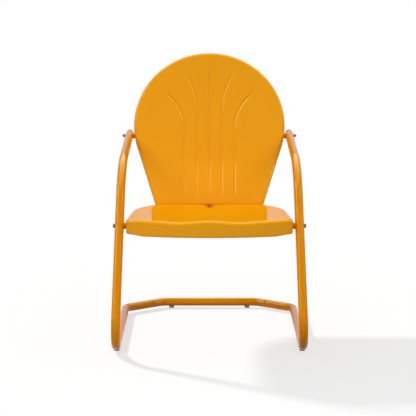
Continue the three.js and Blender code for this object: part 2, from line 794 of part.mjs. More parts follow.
// Bolt, washer and spacer through a lip and a tube, with a nut on the outside
function fastenings(label, mount, hand) {
  const { bolt } = mount;
  const outward = across.clone().multiplyScalar(hand.sign);
  const at = (x) => frameAlong(hand.flip(bolt.clone().setX(x)), outward);
  const forSide = (geometry) => (hand.sign > 0 ? geometry : mirrorGeometry(geometry));
  const washerFace = mount.lipInside - gap - washerThickness - mount.slope;
  const headFace = washerFace - gap;
  const nutFace = bolt.x + tubeRadius + gap;
  const grip = nutFace - headFace + nutHeight;
  const name = `${hand.side}_${label}`;
  return [
    piece(`${name}_spacer`, forSide(spacer(bolt, mount.alongTube, mount.outside)), enamel()),
    piece(`${name}_washer`, forSide(washer(bolt, washerFace, mount.inside)), zinc()),
    piece(`${name}_bolt`, hexBolt(grip), zinc(), at(headFace)),
    piece(`${name}_nut`, mount.nut(), zinc(), at(nutFace)),
  ];
}

for (const hand of hands) {
  const { side, flip } = hand;
  const frame = new THREE.Group();
  frame.add(piece(`${side}_side_frame`, sideFrame(flip), enamel()));
  const screwSeat = flip(seamScrewPlace.clone().addScaledVector(seamScrewOut, tubeRadius + gap));
  frame.add(piece(`${side}_seam_screw`, seamScrew(), zinc(), frameAlong(screwSeat, flip(seamScrewOut))));
  frame.add(piece(`${side}_arm_plug`, endPlug(), enamel(), frameAlong(flip(armEnd), flip(armDirection))));
  const runnerDirection = rearCorner.clone().sub(floorCorner).normalize();
  frame.add(piece(`front_${side}_glide`, glide(flip(frontGlide), flip(runnerDirection)), nylon()));
  frame.add(piece(`rear_${side}_glide`, glide(flip(rearGlide), across), nylon()));
  chair.add(frame);
  for (const [label, mount] of Object.entries(mounts)) chair.add(...fastenings(label, mount, hand));
}

chair.add(piece('rear_base_bar', rearBar(), enamel()));
chair.add(piece('seat_pan', seatPan(), enamel()));
chair.add(piece('back_panel', backPanel(), enamel()));

// Bolts that join the back's lower end to the seat's rear lip, heads behind the back
const joinNames = ['left', 'middle', 'right'];
joinPlaces.forEach((place, i) => {
  const at = (w) => frameAlong(place.clone().addScaledVector(backFront, w), backFront);
  const head = -sheet - gap;
  const nutFace = gap + sheet + gap;
  const name = joinNames[i];
  chair.add(piece(`${name}_join_bolt`, hexBolt(nutFace - head + nutHeight), zinc(), at(head)));
  chair.add(piece(`${name}_join_nut`, hexNut(), zinc(), at(nutFace)));
});

// The origin lies on the floor under the middle of the whole chair
const bounds = new THREE.Box3().setFromObject(chair, true);
chair.position.y = -(bounds.min.y + bounds.max.y) / 2;
chair.updateMatrixWorld(true);

export default chair;
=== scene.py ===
"""Lawn chair of bent steel tube and pressed steel pans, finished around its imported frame."""

import math
from collections import namedtuple

import bmesh
import bpy
import numpy as np
from bpy.props import FloatProperty, FloatVectorProperty, IntProperty, PointerProperty
from mathutils import Matrix, Vector


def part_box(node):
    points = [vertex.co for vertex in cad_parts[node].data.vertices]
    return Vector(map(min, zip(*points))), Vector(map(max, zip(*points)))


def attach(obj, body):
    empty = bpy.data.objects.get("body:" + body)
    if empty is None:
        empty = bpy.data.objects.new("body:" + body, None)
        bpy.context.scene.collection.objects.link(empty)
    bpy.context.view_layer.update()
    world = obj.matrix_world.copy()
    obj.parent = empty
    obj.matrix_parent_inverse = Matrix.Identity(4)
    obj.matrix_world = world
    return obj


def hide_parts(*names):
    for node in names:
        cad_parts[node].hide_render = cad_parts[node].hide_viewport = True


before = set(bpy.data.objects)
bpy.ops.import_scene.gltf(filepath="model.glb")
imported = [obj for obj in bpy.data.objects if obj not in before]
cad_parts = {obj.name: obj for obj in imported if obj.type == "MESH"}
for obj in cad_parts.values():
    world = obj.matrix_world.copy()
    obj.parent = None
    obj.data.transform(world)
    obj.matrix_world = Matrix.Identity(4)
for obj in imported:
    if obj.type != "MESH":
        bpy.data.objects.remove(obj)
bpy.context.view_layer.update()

bl_info = {
    "name": "Spring lawn chair",
    "version": (1, 0, 0),
    "blender": (4, 5, 0),
    "location": "3D View > Sidebar > Lawn chair",
    "description": "Finishes the bent tubes, the pressed seat and back and the fastenings of a lawn chair",
    "category": "Object",
}

MM = 0.001
BODY = "root"


# Kinds of property

def length(name, millimetres, description):
    return FloatProperty(name=name, description=description, default=millimetres * MM, unit="LENGTH")


def angle(name, degrees, description):
    return FloatProperty(name=name, description=description, default=math.radians(degrees), subtype="ANGLE")


def share(name, value, description):
    return FloatProperty(name=name, description=description, default=value, subtype="FACTOR", min=0, max=1)


def count(name, number, description):
    return IntProperty(name=name, description=description, default=number, min=1)


def colour(name, linear, description):
    return FloatVectorProperty(name=name, description=description, default=linear, size=3,
                               subtype="COLOR", min=0, max=1)


def place(name, metres, description):
    return FloatVectorProperty(name=name, description=description, default=metres, size=3, unit="LENGTH")


# Sizes and colours

class ChairTubeSizes(bpy.types.PropertyGroup):
    diameter: length("Diameter", 25.4, "Outer diameter of the steel tube")
    track: length("Track", 517.2, "Distance between the two runners, axis to axis, at the feet")
    glide_height: length("Glide height", 6.5, "How far the glides hold the runners off the floor")
    lean: angle("Lean", 1.1, "How far each side frame leans inwards as it rises")
    flare: angle("Flare", 0.7, "How far each side frame opens towards the rear")
    leg_rake: angle("Leg rake", 30, "Angle of the front legs from upright")
    floor_bend: length("Floor bend", 60, "Radius of the bend between leg and runner")
    arm_bend: length("Arm bend", 215, "Radius of the bend between leg and armrest")
    arm_height: length("Arm height", 503, "Height where the lines of leg and armrest cross")
    arm_rise: angle("Arm rise", 8.8, "How far the armrests climb towards the rear")
    arm_inward: angle("Arm inward", 0.6, "How far the armrests turn in against the line of the runners")
    arm_length: length("Arm length", 402, "Armrest from where its line crosses the leg's to its end")
    runner_length: length("Runner length", 495, "Runner from the lower leg corner to its rear corner")
    base_bend: length("Base bend", 48, "Radius of the four bends of the rear base")
    bar_setback: length("Bar setback", 96, "How far the straight rear bar lies behind the runners")
    bar_length: length("Bar length", 300, "Length of the straight rear bar between its corners")
    seam_offset: length("Seam offset", 44, "Distance from the bar's corner to the seam")
    seam_width: length("Seam width", 0.7, "Open line between the end of the bar and the side frame")
    seam_round: length("Seam round", 0.9, "Rounding of the tube ends that meet at the seam")
    spigot_length: length("Spigot length", 30, "How far the swaged end reaches into the bar")
    wall: length("Wall", 1.6, "Wall of the tube")
    sides: count("Sides", 56, "Faces round the tube")
    bend_step: angle("Bend step", 3, "Turn between two rings of a bend")


class ChairSeatSizes(bpy.types.PropertyGroup):
    sheet: length("Sheet", 1.5, "Thickness of the pressed steel")
    front_height: length("Front height", 365, "Height of the front edge of the seat")
    slope: angle("Slope", 1.2, "How far the seat falls towards the rear")
    ahead_of_bolt: length("Ahead of bolt", 77.5, "Seat in front of its bolts")
    bolt_drop: length("Bolt drop", 21.6, "Seat bolts below the seat's edge")
    spacer_length: length("Spacer length", 6.3, "Sleeve between leg and seat")
    front_bow: length("Front bow", 33, "How far the front edge bows forward")
    edge_radius: length("Edge radius", 9, "Roll between the seat's top and its lip")
    lip: length("Lip", 47, "Depth of the lip at the front and the rear")
    lip_rise: length("Lip rise", 4, "How much less deep the lip is along the sides")
    lip_roll: length("Lip roll", 4.5, "Radius of the lip's foot, which turns inwards")
    dish: length("Dish", 13, "Depth of the hollow that is sat in")
    thigh_dip: length("Thigh dip", 4, "Depth of the two hollows at the front edge")
    crown: length("Front crown", 2.5, "Rise in the middle of the front edge")
    valley_depth: length("Valley depth", 11, "Drain valley at the middle of the rear edge")
    valley_width: length("Valley width", 12, "Half width of the drain valley")
    valley_length: length("Valley length", 70, "Run of the drain valley into the seat")
    columns: count("Columns", 30, "Faces from the middle of the seat to one side")
    rows: count("Rows", 132, "Faces from the front of the seat to the rear")


class ChairBackSizes(bpy.types.PropertyGroup):
    sheet: length("Sheet", 1.5, "Thickness of the pressed steel")
    recline: angle("Recline", 19, "Angle of the back from upright")
    bolt_from_arm_end: length("Bolt from arm end", 30, "Back bolt ahead of the end of the armrest")
    bolt_below_middle: length("Bolt below middle", 32.2, "Back bolts below the centre of the round shell")
    bolt_behind_face: length("Bolt behind face", 14, "Back bolts behind the front of the rim")
    spacer_length: length("Spacer length", 3.7, "Sleeve between armrest and back")
    taper: angle("Taper", 17.5, "How far each side draws in towards the seat")
    dish: length("Dish", 14, "Depth of the hollow that is leaned in")
    dish_rise: length("Dish rise", 150, "Height over which the hollow grows above the seat")
    edge_radius: length("Edge radius", 9.5, "Roll between the back's face and its rim")
    lip: length("Lip", 25, "Depth of the rim")
    lip_rise: length("Lip rise", 0, "How much less deep the rim is along the sides")
    lip_roll: length("Lip roll", 2, "Radius of the rim's foot, which turns inwards")
    corner_radius: length("Corner radius", 22, "Reach of the lower corners")
    groove_depth: length("Groove depth", 2.5, "Depth of the pressed grooves")
    groove_floor: length("Groove floor", 4.45, "Radius of the floor of a groove")
    groove_shoulder: length("Groove shoulder", 5, "Radius of the shoulders of a groove")
    groove_run_out: length("Groove run out", 22, "Length over which a groove fades at its ends")
    groove_foot: length("Groove foot", 22, "Start of the grooves above the seat")
    middle_top: length("Middle groove top", 186, "Upper end of the middle groove above the bolts' centre")
    inner_spacing: length("Inner spacing", 39, "Inner grooves from the middle")
    inner_height: length("Inner height", 40, "Height where the inner grooves turn outwards")
    inner_radius: length("Inner radius", 247, "Radius of the inner grooves' turn")
    inner_sweep: angle("Inner sweep", 31, "How far the inner grooves turn")
    outer_spacing: length("Outer spacing", 79, "Outer grooves from the middle")
    outer_height: length("Outer height", -8, "Height where the outer grooves turn outwards")
    outer_radius: length("Outer radius", 142, "Radius of the outer grooves' turn")
    outer_sweep: angle("Outer sweep", 56, "How far the outer grooves turn")
    corner_rise: angle("Corner rise", 15, "Where the mesh turns from the side of the shell to its top")
    columns: count("Columns", 9, "Faces between two neighbouring grooves")
    rows: count("Rows", 168, "Faces from the lower edge of the back to its top")


class ChairFastenerSizes(bpy.types.PropertyGroup):
    bolt: length("Bolt", 6, "Diameter of the bolts")
    thread_pitch: length("Thread pitch", 1, "Rise of the thread in one turn")
    thread_depth: length("Thread depth", 0.5, "Depth of the thread")
    thread_length: length("Thread length", 14, "Threaded end of each bolt")
    head_width: length("Head width", 10, "Width of a bolt head across its flats")
    head_height: length("Head height", 4, "Height of a bolt head")
    nut_width: length("Nut width", 11, "Width of a nut across its flats")
    nut_height: length("Nut height", 5, "Height of a nut")
    cap_height: length("Cap height", 9, "Height of a cap nut with its dome")
    washer: length("Washer", 14, "Diameter of a washer")
    washer_height: length("Washer height", 1.2, "Thickness of a washer")
    spacer: length("Spacer", 18.5, "Diameter of the sleeves that hold seat and back off the tubes")
    join_spacing: length("Join spacing", 105, "Distance between the bolts that join the back to the seat")
    join_above_edge: length("Join above edge", 23, "Those bolts above the back's lower edge")
    screw_head: length("Screw head", 8, "Diameter of the small screw's head")
    screw_head_height: length("Screw head height", 2.2, "Height of the small screw's head")
    glide: length("Glide", 16, "Diameter of the glides")
    plug_dome: length("Plug dome", 5, "Height of the domed end of an armrest plug")
    plug_rim: length("Plug rim", 2, "Straight rim of an armrest plug")
    clearance: length("Clearance", 0.3, "Space between pieces that touch")
    sides: count("Sides", 36, "Faces round a small turned piece")


class ChairColours(bpy.types.PropertyGroup):
    pan_enamel: colour("Pan enamel", (0.86, 0.355, 0.001), "Gloss enamel of the seat and the back")
    # The tube enamel is a darker, redder copy of the pan enamel: painted shade for the lesser light that
    # reaches the tubes
    tube_enamel: colour("Tube enamel", (0.68, 0.228, 0.001), "Gloss enamel of the tubes")
    # The sleeve enamel is a darker, redder copy of the same orange: painted shade for the sleeves squeezed
    # between tube and pan
    sleeve_enamel: colour("Sleeve enamel", (0.72, 0.145, 0.001), "Gloss enamel of the spacers")
    thinning: share("Thinning", 0.05, "How much darker the enamel is where it lies thinner")
    zinc: colour("Zinc", (0.20, 0.20, 0.21), "Zinc plate of the bolts and nuts")
    zinc_dull: colour("Dull zinc", (0.10, 0.10, 0.11), "Zinc plate where it has dulled")
    front_nylon: colour("Front nylon", (0.020, 0.018, 0.016), "Nylon of the front glides")
    rear_nylon: colour("Rear nylon", (0.34, 0.30, 0.25), "Nylon of the rear glides")


class ChairStageSizes(bpy.types.PropertyGroup):
    camera: place("Camera", (-0.0042, -3.859, 0.88), "Where the photograph was taken from")
    pitch: angle("Pitch", 7.6, "How far the camera looks down")
    lens: FloatProperty(name="Lens", description="Focal length on a 36 mm sensor", default=113.8,
                        unit="CAMERA")
    floor: length("Floor", 60000, "Half the side of the floor")
    key: place("Key", (-1.37, 1.2, 1.34), "Lamp that throws the shadows on the floor")
    key_size: length("Key size", 170, "Diameter of the key lamp")
    key_level: FloatProperty(name="Key level", description="Light on a white sheet that faces the key lamp",
                             default=1.1)
    overhead_level: share("Overhead level", 0.24, "Light on a white sheet that faces the overhead light")
    left_level: share("Left level", 0.35, "Light on a white sheet that faces the left side light")
    right_level: share("Right level", 0.31, "Light on a white sheet that faces the right side light")
    side_turn: angle("Side turn", 52, "How far the side lights stand to the sides of the camera")
    side_rise: angle("Side rise", 36, "How far the side lights stand above the floor")
    softness: angle("Softness", 28, "Width of the lights as the chair sees them")
    dome: share("Dome", 0.40, "Strength of the light from all round, where 1 is white")
    floor_shown: colour("Floor shown", (0.30, 0.30, 0.30), "What the floor shows of the light on it")
    floor_bounce: share("Floor bounce", 0.62, "What the floor throws back at the chair")


PROPERTY_GROUPS = {
    "chair_tube": ChairTubeSizes,
    "chair_seat": ChairSeatSizes,
    "chair_back": ChairBackSizes,
    "chair_fasteners": ChairFastenerSizes,
    "chair_colours": ChairColours,
    "chair_stage": ChairStageSizes,
}


# The chair's plan: where its tubes and panels lie

class Panel:
    """The plane of a pressed panel: across, along its length and out of its face."""

    def __init__(self, origin, along, out):
        self.origin = Vector(origin)
        self.across = Vector((1, 0, 0))
        self.along = Vector(along)
        self.out = Vector(out)

    def point(self, across, along, out):
        return self.origin + across * self.across + along * self.along + out * self.out

    def height_of(self, point):
        return (Vector(point) - self.origin).dot(self.out)

    def points(self, flat, heights):
        """World places of flat points, each at its own height over the plane."""
        return (np.array(self.origin) + np.outer(flat[:, 0], self.across)
                + np.outer(flat[:, 1], self.along) + np.outer(heights, self.out))


class Plan:
    """Places worked out from the sizes, for the right side of the chair.

    The tubes are laid twice: once to see where the seat nut would come, and again moved to the
    place along the chair where the frame has it.
    """

    def __init__(self, scene):
        tube, seat, back = scene.chair_tube, scene.chair_seat, scene.chair_back
        gap = scene.chair_fasteners.clearance
        self.tube, self.seat, self.back, self.gap = tube, seat, back, gap
        self.radius = tube.diameter / 2
        self.runner_height = tube.glide_height + self.radius
        self.shift = 0.0
        bolt_height = seat.front_height - seat.ahead_of_bolt * math.sin(seat.slope) - seat.bolt_drop
        self.lay_tubes()
        nut_low, nut_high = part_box("right_seat_nut")
        self.shift = (nut_low.y + nut_high.y) / 2 - self.on_leg(bolt_height).y
        self.lay_tubes()
        self.seat_bolt = self.on_leg(bolt_height)
        self.back_bolt = self.arm_end - back.bolt_from_arm_end * self.arm_direction
        self.seat_half_width = self.seat_bolt.x - self.radius - seat.spacer_length - 2 * gap
        across_bolts = self.back_bolt.x - self.radius - back.spacer_length - 2 * gap
        self.back_radius = math.hypot(across_bolts, back.bolt_below_middle)
        self.lay_panels()

    def on_frame(self, along, height):
        """A place in the leaning plane of the right side frame's axis."""
        across = (self.tube.track / 2 - (height - self.runner_height) * math.tan(self.tube.lean)
                  + along * math.tan(self.tube.flare))
        return Vector((across, along + self.shift, height))

    def lay_tubes(self):
        tube = self.tube
        floor_along = -tube.floor_bend * math.tan((math.pi / 2 + tube.leg_rake) / 2)
        arm_along = floor_along + (tube.arm_height - self.runner_height) * math.tan(tube.leg_rake)
        self.floor_corner = self.on_frame(floor_along, self.runner_height)
        self.arm_corner = self.on_frame(arm_along, tube.arm_height)
        self.arm_end = self.on_frame(arm_along + tube.arm_length * math.cos(tube.arm_rise),
                                     tube.arm_height + tube.arm_length * math.sin(tube.arm_rise))
        self.arm_end.x -= tube.arm_length * math.sin(tube.arm_inward)
        self.arm_direction = (self.arm_end - self.arm_corner).normalized()
        self.leg_direction = (self.arm_corner - self.floor_corner).normalized()
        self.rear_corner = self.on_frame(tube.runner_length, self.runner_height)
        self.bar_corner = Vector((tube.bar_length / 2, self.rear_corner.y + tube.bar_setback,
                                  self.runner_height))
        self.seam_direction = (self.bar_corner - self.rear_corner).normalized()
        self.seam = self.bar_corner - tube.seam_offset * self.seam_direction

    def on_leg(self, height):
        rise = (height - self.floor_corner.z) / (self.arm_corner.z - self.floor_corner.z)
        return self.floor_corner.lerp(self.arm_corner, rise)

    def lay_panels(self):
        seat, back = self.seat, self.back
        lean, slope = back.recline, seat.slope
        back_up = Vector((0, math.sin(lean), math.cos(lean)))
        back_out = Vector((0, -math.cos(lean), math.sin(lean)))
        middle = Vector((0, self.back_bolt.y, self.back_bolt.z))
        middle += back.bolt_below_middle * back_up + back.bolt_behind_face * back_out
        self.back_panel = Panel(middle, back_up, back_out)
        seat_rear = Vector((0, math.cos(slope), -math.sin(slope)))
        seat_up = Vector((0, math.sin(slope), math.cos(slope)))
        front = Vector((0, self.seat_bolt.y, self.seat_bolt.z))
        front += seat.bolt_drop * seat_up - seat.ahead_of_bolt * seat_rear
        self.seat_panel = Panel(front, seat_rear, seat_up)
        reach = self.back_panel.height_of(front - seat.edge_radius * seat_up)
        self.seat_depth = (self.gap - reach) / seat_rear.dot(back_out)
        self.rear_lip_lean = lean - slope
        joint = front + self.seat_depth * seat_rear
        self.seat_line = (joint - self.back_panel.origin).dot(back_up)
        self.lower_edge = self.seat_line - seat.lip


def mirrored(point):
    return Vector((-point[0], point[1], point[2]))


SIDES = (("right", Vector), ("left", mirrored))


def quarter(steps):
    """The angles that divide a quarter turn into steps, without its start."""
    return [math.pi / 2 * step / steps for step in range(1, steps + 1)]


# Meshes

SMOOTH_LIMIT = math.radians(38)


def mesh_of(name, vertices, faces):
    """A closed mesh with its faces pointing out and its soft edges shaded smooth."""
    mesh = bpy.data.meshes.new(name)
    mesh.from_pydata([tuple(vertex) for vertex in vertices], [], faces)
    work = bmesh.new()
    work.from_mesh(mesh)
    bmesh.ops.recalc_face_normals(work, faces=work.faces)
    work.to_mesh(mesh)
    work.free()
    return shaded(mesh)


def shaded(mesh):
    mesh.shade_smooth()
    mesh.set_sharp_from_angle(angle=SMOOTH_LIMIT)
    return mesh


def joined(name, meshes):
    """Several meshes as one."""
    work = bmesh.new()
    for mesh in meshes:
        work.from_mesh(mesh)
    result = bpy.data.meshes.new(name)
    work.to_mesh(result)
    work.free()
    return shaded(result)


def strips(rings, closed=False):
    """Faces from each ring of vertices to the next, as triangles where a ring is a pole."""
    pairs = list(zip(rings, rings[1:]))
    if closed:
        pairs.append((rings[-1], rings[0]))
    faces = []
    for first, second in pairs:
        for i in range(len(first)):
            j = (i + 1) % len(first)
            faces.append(tuple(dict.fromkeys((first[i], second[i], second[j], first[j]))))
    return faces


def placed(name, data):
    """A new object in the scene."""
    thing = bpy.data.objects.new(name, data)
    bpy.context.scene.collection.objects.link(thing)
    return thing


def stand(scene, name, mesh, finish, *nodes):
    """Puts a mesh in the place of its solids, in its finish."""
    piece = placed(name, mesh)
    mesh.materials.clear()
    mesh.materials.append(finish_of(scene, finish))
    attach(piece, BODY)
    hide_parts(*nodes)


def both_sides(*names):
    return [f"{side}_{name}" for name in names for side in ("left", "right")]


# Node trees

class Wire:
    """A value in a node tree, with Python's operators as its Math nodes."""

    def __init__(self, tree, socket):
        self.tree = tree
        self.socket = socket

    def __add__(self, other):
        return self.tree.math("ADD", self, other)

    def __sub__(self, other):
        return self.tree.math("SUBTRACT", self, other)

    def __rsub__(self, other):
        return self.tree.math("SUBTRACT", other, self)

    def __mul__(self, other):
        return self.tree.math("MULTIPLY", self, other)

    __radd__ = __add__
    __rmul__ = __mul__


class Tree:
    """A node tree that is filled through one method."""

    def __init__(self, tree):
        self.tree = tree

    def add(self, kind, settings=None, sockets=None):
        """Adds a node, sets its settings, then the values and links of its sockets."""
        node = self.tree.nodes.new(kind)
        for name, value in (settings or {}).items():
            setattr(node, name, value)
        for name, value in (sockets or {}).items():
            self.feed(self.socket(node.inputs, name), value)
        return node

    def socket(self, sockets, name):
        if isinstance(name, int):
            return sockets[name]
        for socket in sockets:
            if socket.identifier == name:
                return socket
        return sockets[name]

    def feed(self, socket, value):
        if isinstance(value, Wire):
            self.tree.links.new(value.socket, socket)
        else:
            socket.default_value = value

    def out(self, node, name=0):
        return Wire(self, self.socket(node.outputs, name))

    def math(self, operation, *values):
        node = self.add("ShaderNodeMath", {"operation": operation}, dict(enumerate(values)))
        return self.out(node)


def bare_tree(owner):
    """The node tree of a material, a world or a lamp, with nothing in it."""
    owner.use_nodes = True
    owner.node_tree.nodes.clear()
    return Tree(owner.node_tree)


def surface_tree(name):
    material = bpy.data.materials.new(name)
    return material, bare_tree(material)


# Finishes

def noise(tree, where, scale, detail):
    node = tree.add("ShaderNodeTexNoise", {}, {"Vector": where, "Scale": scale, "Detail": detail})
    return tree.out(node, "Fac")


def mixed(tree, factor, first, second):
    node = tree.add("ShaderNodeMix", {"data_type": "RGBA"},
                    {"Factor_Float": factor, "A_Color": first, "B_Color": second})
    return tree.out(node, "Result_Color")


def opaque(shade):
    return (*shade, 1.0)


def bumped(tree, height, distance, strength):
    node = tree.add("ShaderNodeBump", {}, {"Height": height, "Distance": distance, "Strength": strength})
    return tree.out(node, "Normal")


def object_place(tree):
    return tree.out(tree.add("ShaderNodeTexCoord"), "Object")


def close_surface(material, tree, sockets):
    """Ends a material with its one shader."""
    shader = tree.add("ShaderNodeBsdfPrincipled", {}, sockets)
    tree.add("ShaderNodeOutputMaterial", {}, {"Surface": tree.out(shader)})
    return material


# Patterns of noise: scale and detail
CLOUD = (9.0, 2.0)
WAVE = (34.0, 1.0)
GRAIN = (240.0, 2.0)
PEEL = (420.0, 1.0)
BLOTCH = (160.0, 2.0)
SPANGLE = (900.0, 3.0)
SCUFF = (700.0, 4.0)
MOULDING = (2400.0, 1.0)

# Roughness: its least, and what the pattern adds
ENAMEL_ROUGHNESS = (0.06, 0.05)
ZINC_ROUGHNESS = (0.28, 0.22)
NYLON_ROUGHNESS = (0.45, 0.2)

# Relief: its depth and its strength
ENAMEL_RELIEF = (0.2 * MM, 0.10)
ZINC_RELIEF = (0.1 * MM, 0.3)
NYLON_RELIEF = (0.1 * MM, 0.25)

# Enamel: sheen of the paint itself, and weight of the clear skin over it
PAN_GLOSS = (0.0, 0.44)
TUBE_GLOSS = (0.15, 0.05)
SHEEN_TINT = (1.0, 0.8, 0.12, 1.0)
SKIN_ROUGHNESS = 0.035
SKIN_IOR = 1.35
CLOUD_SHARE = 0.8
PEEL_SHARE = 0.2

# Painted shade where seat and back meet, standing in for the shadow in that crease: how far it reaches from
# the joint and from the bottom of the valley
JOINT_DEPTH = 3 * MM
PAINTED_SHADE_REACH = 3.8 * MM
PAINTED_SHADE_POOL = 8.5 * MM
VALLEY_DROP = 7 * MM
PAINTED_SHADE_SEAM_SHARE = 0.8
PAINTED_SHADE_TINT = (0.62, 0.32, 1.0)

# How metallic the zinc is, and the grey that the floor scuffs into the nylon
ZINC_METAL = 0.9
SCUFF_SHADE = 0.4
SCUFF_PALENESS = 0.25
SCUFF_SHARE = 0.6


def painted_shade_in_joint(tree, where, joint):
    """How much painted shade darkens the joint of seat and back, most of it in the drain valley."""
    parts = tree.add("ShaderNodeSeparateXYZ", {}, {"Vector": where})
    across, along, up = (tree.out(parts, axis) for axis in ("X", "Y", "Z"))
    behind, above = along - joint.y, up - joint.z
    away = behind * behind + above * above
    seam = tree.math("EXPONENT", away * (-1 / PAINTED_SHADE_REACH ** 2))
    below = above + VALLEY_DROP
    spot = behind * behind + below * below + across * across
    pool = tree.math("EXPONENT", spot * (-1 / PAINTED_SHADE_POOL ** 2))
    return tree.math("MINIMUM", 1.0, seam * PAINTED_SHADE_SEAM_SHARE + pool)


def enamel(name, colours, gloss, joint=None):
    """Gloss enamel: colour with a warm sheen, under a clear skin, and the faint waviness of dried paint."""
    material, tree = surface_tree(name)
    where = object_place(tree)
    cloud, grain, peel, wave = (noise(tree, where, *pattern) for pattern in (CLOUD, GRAIN, PEEL, WAVE))
    full = getattr(colours, name)
    thin = tuple(value * (1 - colours.thinning) for value in full)
    shade = mixed(tree, cloud * CLOUD_SHARE + grain * (1 - CLOUD_SHARE), opaque(thin), opaque(full))
    # Given a joint, the colour is darkened there as painted shade in the crease and the drain valley
    if joint:
        shade_darkened = opaque(value * part for value, part in zip(full, PAINTED_SHADE_TINT))
        shade = mixed(tree, painted_shade_in_joint(tree, where, joint), shade, shade_darkened)
    sheen, skin = gloss
    least, added = ENAMEL_ROUGHNESS
    return close_surface(material, tree, {
        "Base Color": shade, "Roughness": least + added * grain, "Specular IOR Level": sheen,
        "Specular Tint": SHEEN_TINT, "Coat Weight": skin, "Coat Roughness": SKIN_ROUGHNESS,
        "Coat IOR": SKIN_IOR, "Normal": bumped(tree, peel * PEEL_SHARE + wave, *ENAMEL_RELIEF)})


def zinc(name, colours):
    """Zinc plate on turned and forged steel."""
    material, tree = surface_tree(name)
    where = object_place(tree)
    blotch = noise(tree, where, *BLOTCH)
    least, added = ZINC_ROUGHNESS
    return close_surface(material, tree, {
        "Base Color": mixed(tree, blotch, opaque(colours.zinc_dull), opaque(colours.zinc)),
        "Metallic": ZINC_METAL, "Roughness": least + added * blotch,
        "Normal": bumped(tree, noise(tree, where, *SPANGLE), *ZINC_RELIEF)})


def nylon(name, colours):
    """Moulded nylon, scuffed a little paler by the floor."""
    material, tree = surface_tree(name)
    where = object_place(tree)
    scuff = noise(tree, where, *SCUFF)
    tint = getattr(colours, name)
    pale = tuple(value + SCUFF_PALENESS * (SCUFF_SHADE - value) for value in tint)
    least, added = NYLON_ROUGHNESS
    return close_surface(material, tree, {
        "Base Color": mixed(tree, scuff * SCUFF_SHARE, opaque(tint), opaque(pale)),
        "Roughness": least + added * scuff,
        "Normal": bumped(tree, noise(tree, where, *MOULDING), *NYLON_RELIEF)})


def joint_middle(scene):
    """The middle of the line where the seat meets the back."""
    plan = Plan(scene)
    return plan.seat_panel.point(0, plan.seat_depth, -JOINT_DEPTH)


def finish_of(scene, name):
    """The named finish, made once."""
    colours = scene.chair_colours
    makers = {
        # The pan enamel carries painted shade along the joint of seat and back
        "pan_enamel": lambda: enamel(name, colours, PAN_GLOSS, joint_middle(scene)),
        # Tube enamel: the pan colour darkened as painted shade
        "tube_enamel": lambda: enamel(name, colours, TUBE_GLOSS),
        # Sleeve enamel: the orange darkened as painted shade for the gap between the parts
        "sleeve_enamel": lambda: enamel(name, colours, TUBE_GLOSS),
        "zinc_plate": lambda: zinc(name, colours),
        "front_nylon": lambda: nylon(name, colours),
        "rear_nylon": lambda: nylon(name, colours),
    }
    return bpy.data.materials.get(name) or makers[name]()


# Shapes grown by geometry nodes

def geometry_tree(name, *inputs):
    """A geometry tree with its named inputs, and the node that gives them out."""
    group = bpy.data.node_groups.new(name, "GeometryNodeTree")
    group.interface.new_socket("Geometry", in_out="INPUT", socket_type="NodeSocketGeometry")
    for label, kind in inputs:
        group.interface.new_socket(label, in_out="INPUT", socket_type=kind)
    group.interface.new_socket("Geometry", in_out="OUTPUT", socket_type="NodeSocketGeometry")
    tree = Tree(group)
    return tree, tree.add("NodeGroupInput")


def close_tree(tree, given, geometry):
    """Ends a geometry tree with real geometry in one material."""
    whole = tree.add("GeometryNodeRealizeInstances", {}, {"Geometry": geometry})
    painted = tree.add("GeometryNodeSetMaterial", {}, {"Geometry": tree.out(whole),
                                                       "Material": tree.out(given, "Material")})
    tree.add("NodeGroupOutput", {}, {0: tree.out(painted)})
    return tree.tree


def attribute(tree, name, kind):
    node = tree.add("GeometryNodeInputNamedAttribute", {"data_type": kind}, {"Name": name})
    return tree.out(node, "Attribute")


def bent_tube_tree():
    """A round tube along a path, drawn in where the path's own width says so."""
    tree, given = geometry_tree("bent_tube", ("Radius", "NodeSocketFloat"), ("Sides", "NodeSocketInt"),
                                ("Material", "NodeSocketMaterial"))
    path = tree.add("GeometryNodeMeshToCurve", {}, {"Mesh": tree.out(given, "Geometry")})
    circle = tree.add("GeometryNodeCurvePrimitiveCircle", {"mode": "RADIUS"},
                      {"Resolution": tree.out(given, "Sides"), "Radius": tree.out(given, "Radius")})
    skin = tree.add("GeometryNodeCurveToMesh", {}, {
        "Curve": tree.out(path), "Profile Curve": tree.out(circle, "Curve"),
        "Scale": attribute(tree, "width", "FLOAT"), "Fill Caps": True})
    return close_tree(tree, given, tree.out(skin))


def fastening_tree():
    """One shape at every point, turned to the point's own axis."""
    tree, given = geometry_tree("fastening", ("Shape", "NodeSocketObject"),
                                ("Material", "NodeSocketMaterial"))
    shape = tree.add("GeometryNodeObjectInfo", {}, {"Object": tree.out(given, "Shape")})
    turn = tree.add("FunctionNodeAlignRotationToVector", {"axis": "Z"},
                    {"Vector": attribute(tree, "axis", "FLOAT_VECTOR")})
    spread = tree.add("GeometryNodeInstanceOnPoints", {}, {
        "Points": tree.out(given, "Geometry"), "Instance": tree.out(shape, "Geometry"),
        "Rotation": tree.out(turn)})
    return close_tree(tree, given, tree.out(spread))


def tree_of(name):
    makers = {"bent_tube": bent_tube_tree, "fastening": fastening_tree}
    return bpy.data.node_groups.get(name) or makers[name]()


def grown(name, seed_mesh, tree, values):
    """The plain mesh that a geometry tree grows from a seed."""
    seed = placed(f"{name}_seed", seed_mesh)
    modifier = seed.modifiers.new("growth", "NODES")
    modifier.node_group = tree
    for item in tree.interface.items_tree:
        if item.in_out == "INPUT" and item.name in values:
            modifier[item.identifier] = values[item.name]
    graph = bpy.context.evaluated_depsgraph_get()
    mesh = bpy.data.meshes.new_from_object(seed.evaluated_get(graph), depsgraph=graph)
    bpy.data.objects.remove(seed)
    mesh.name = name
    return mesh


# Tubes

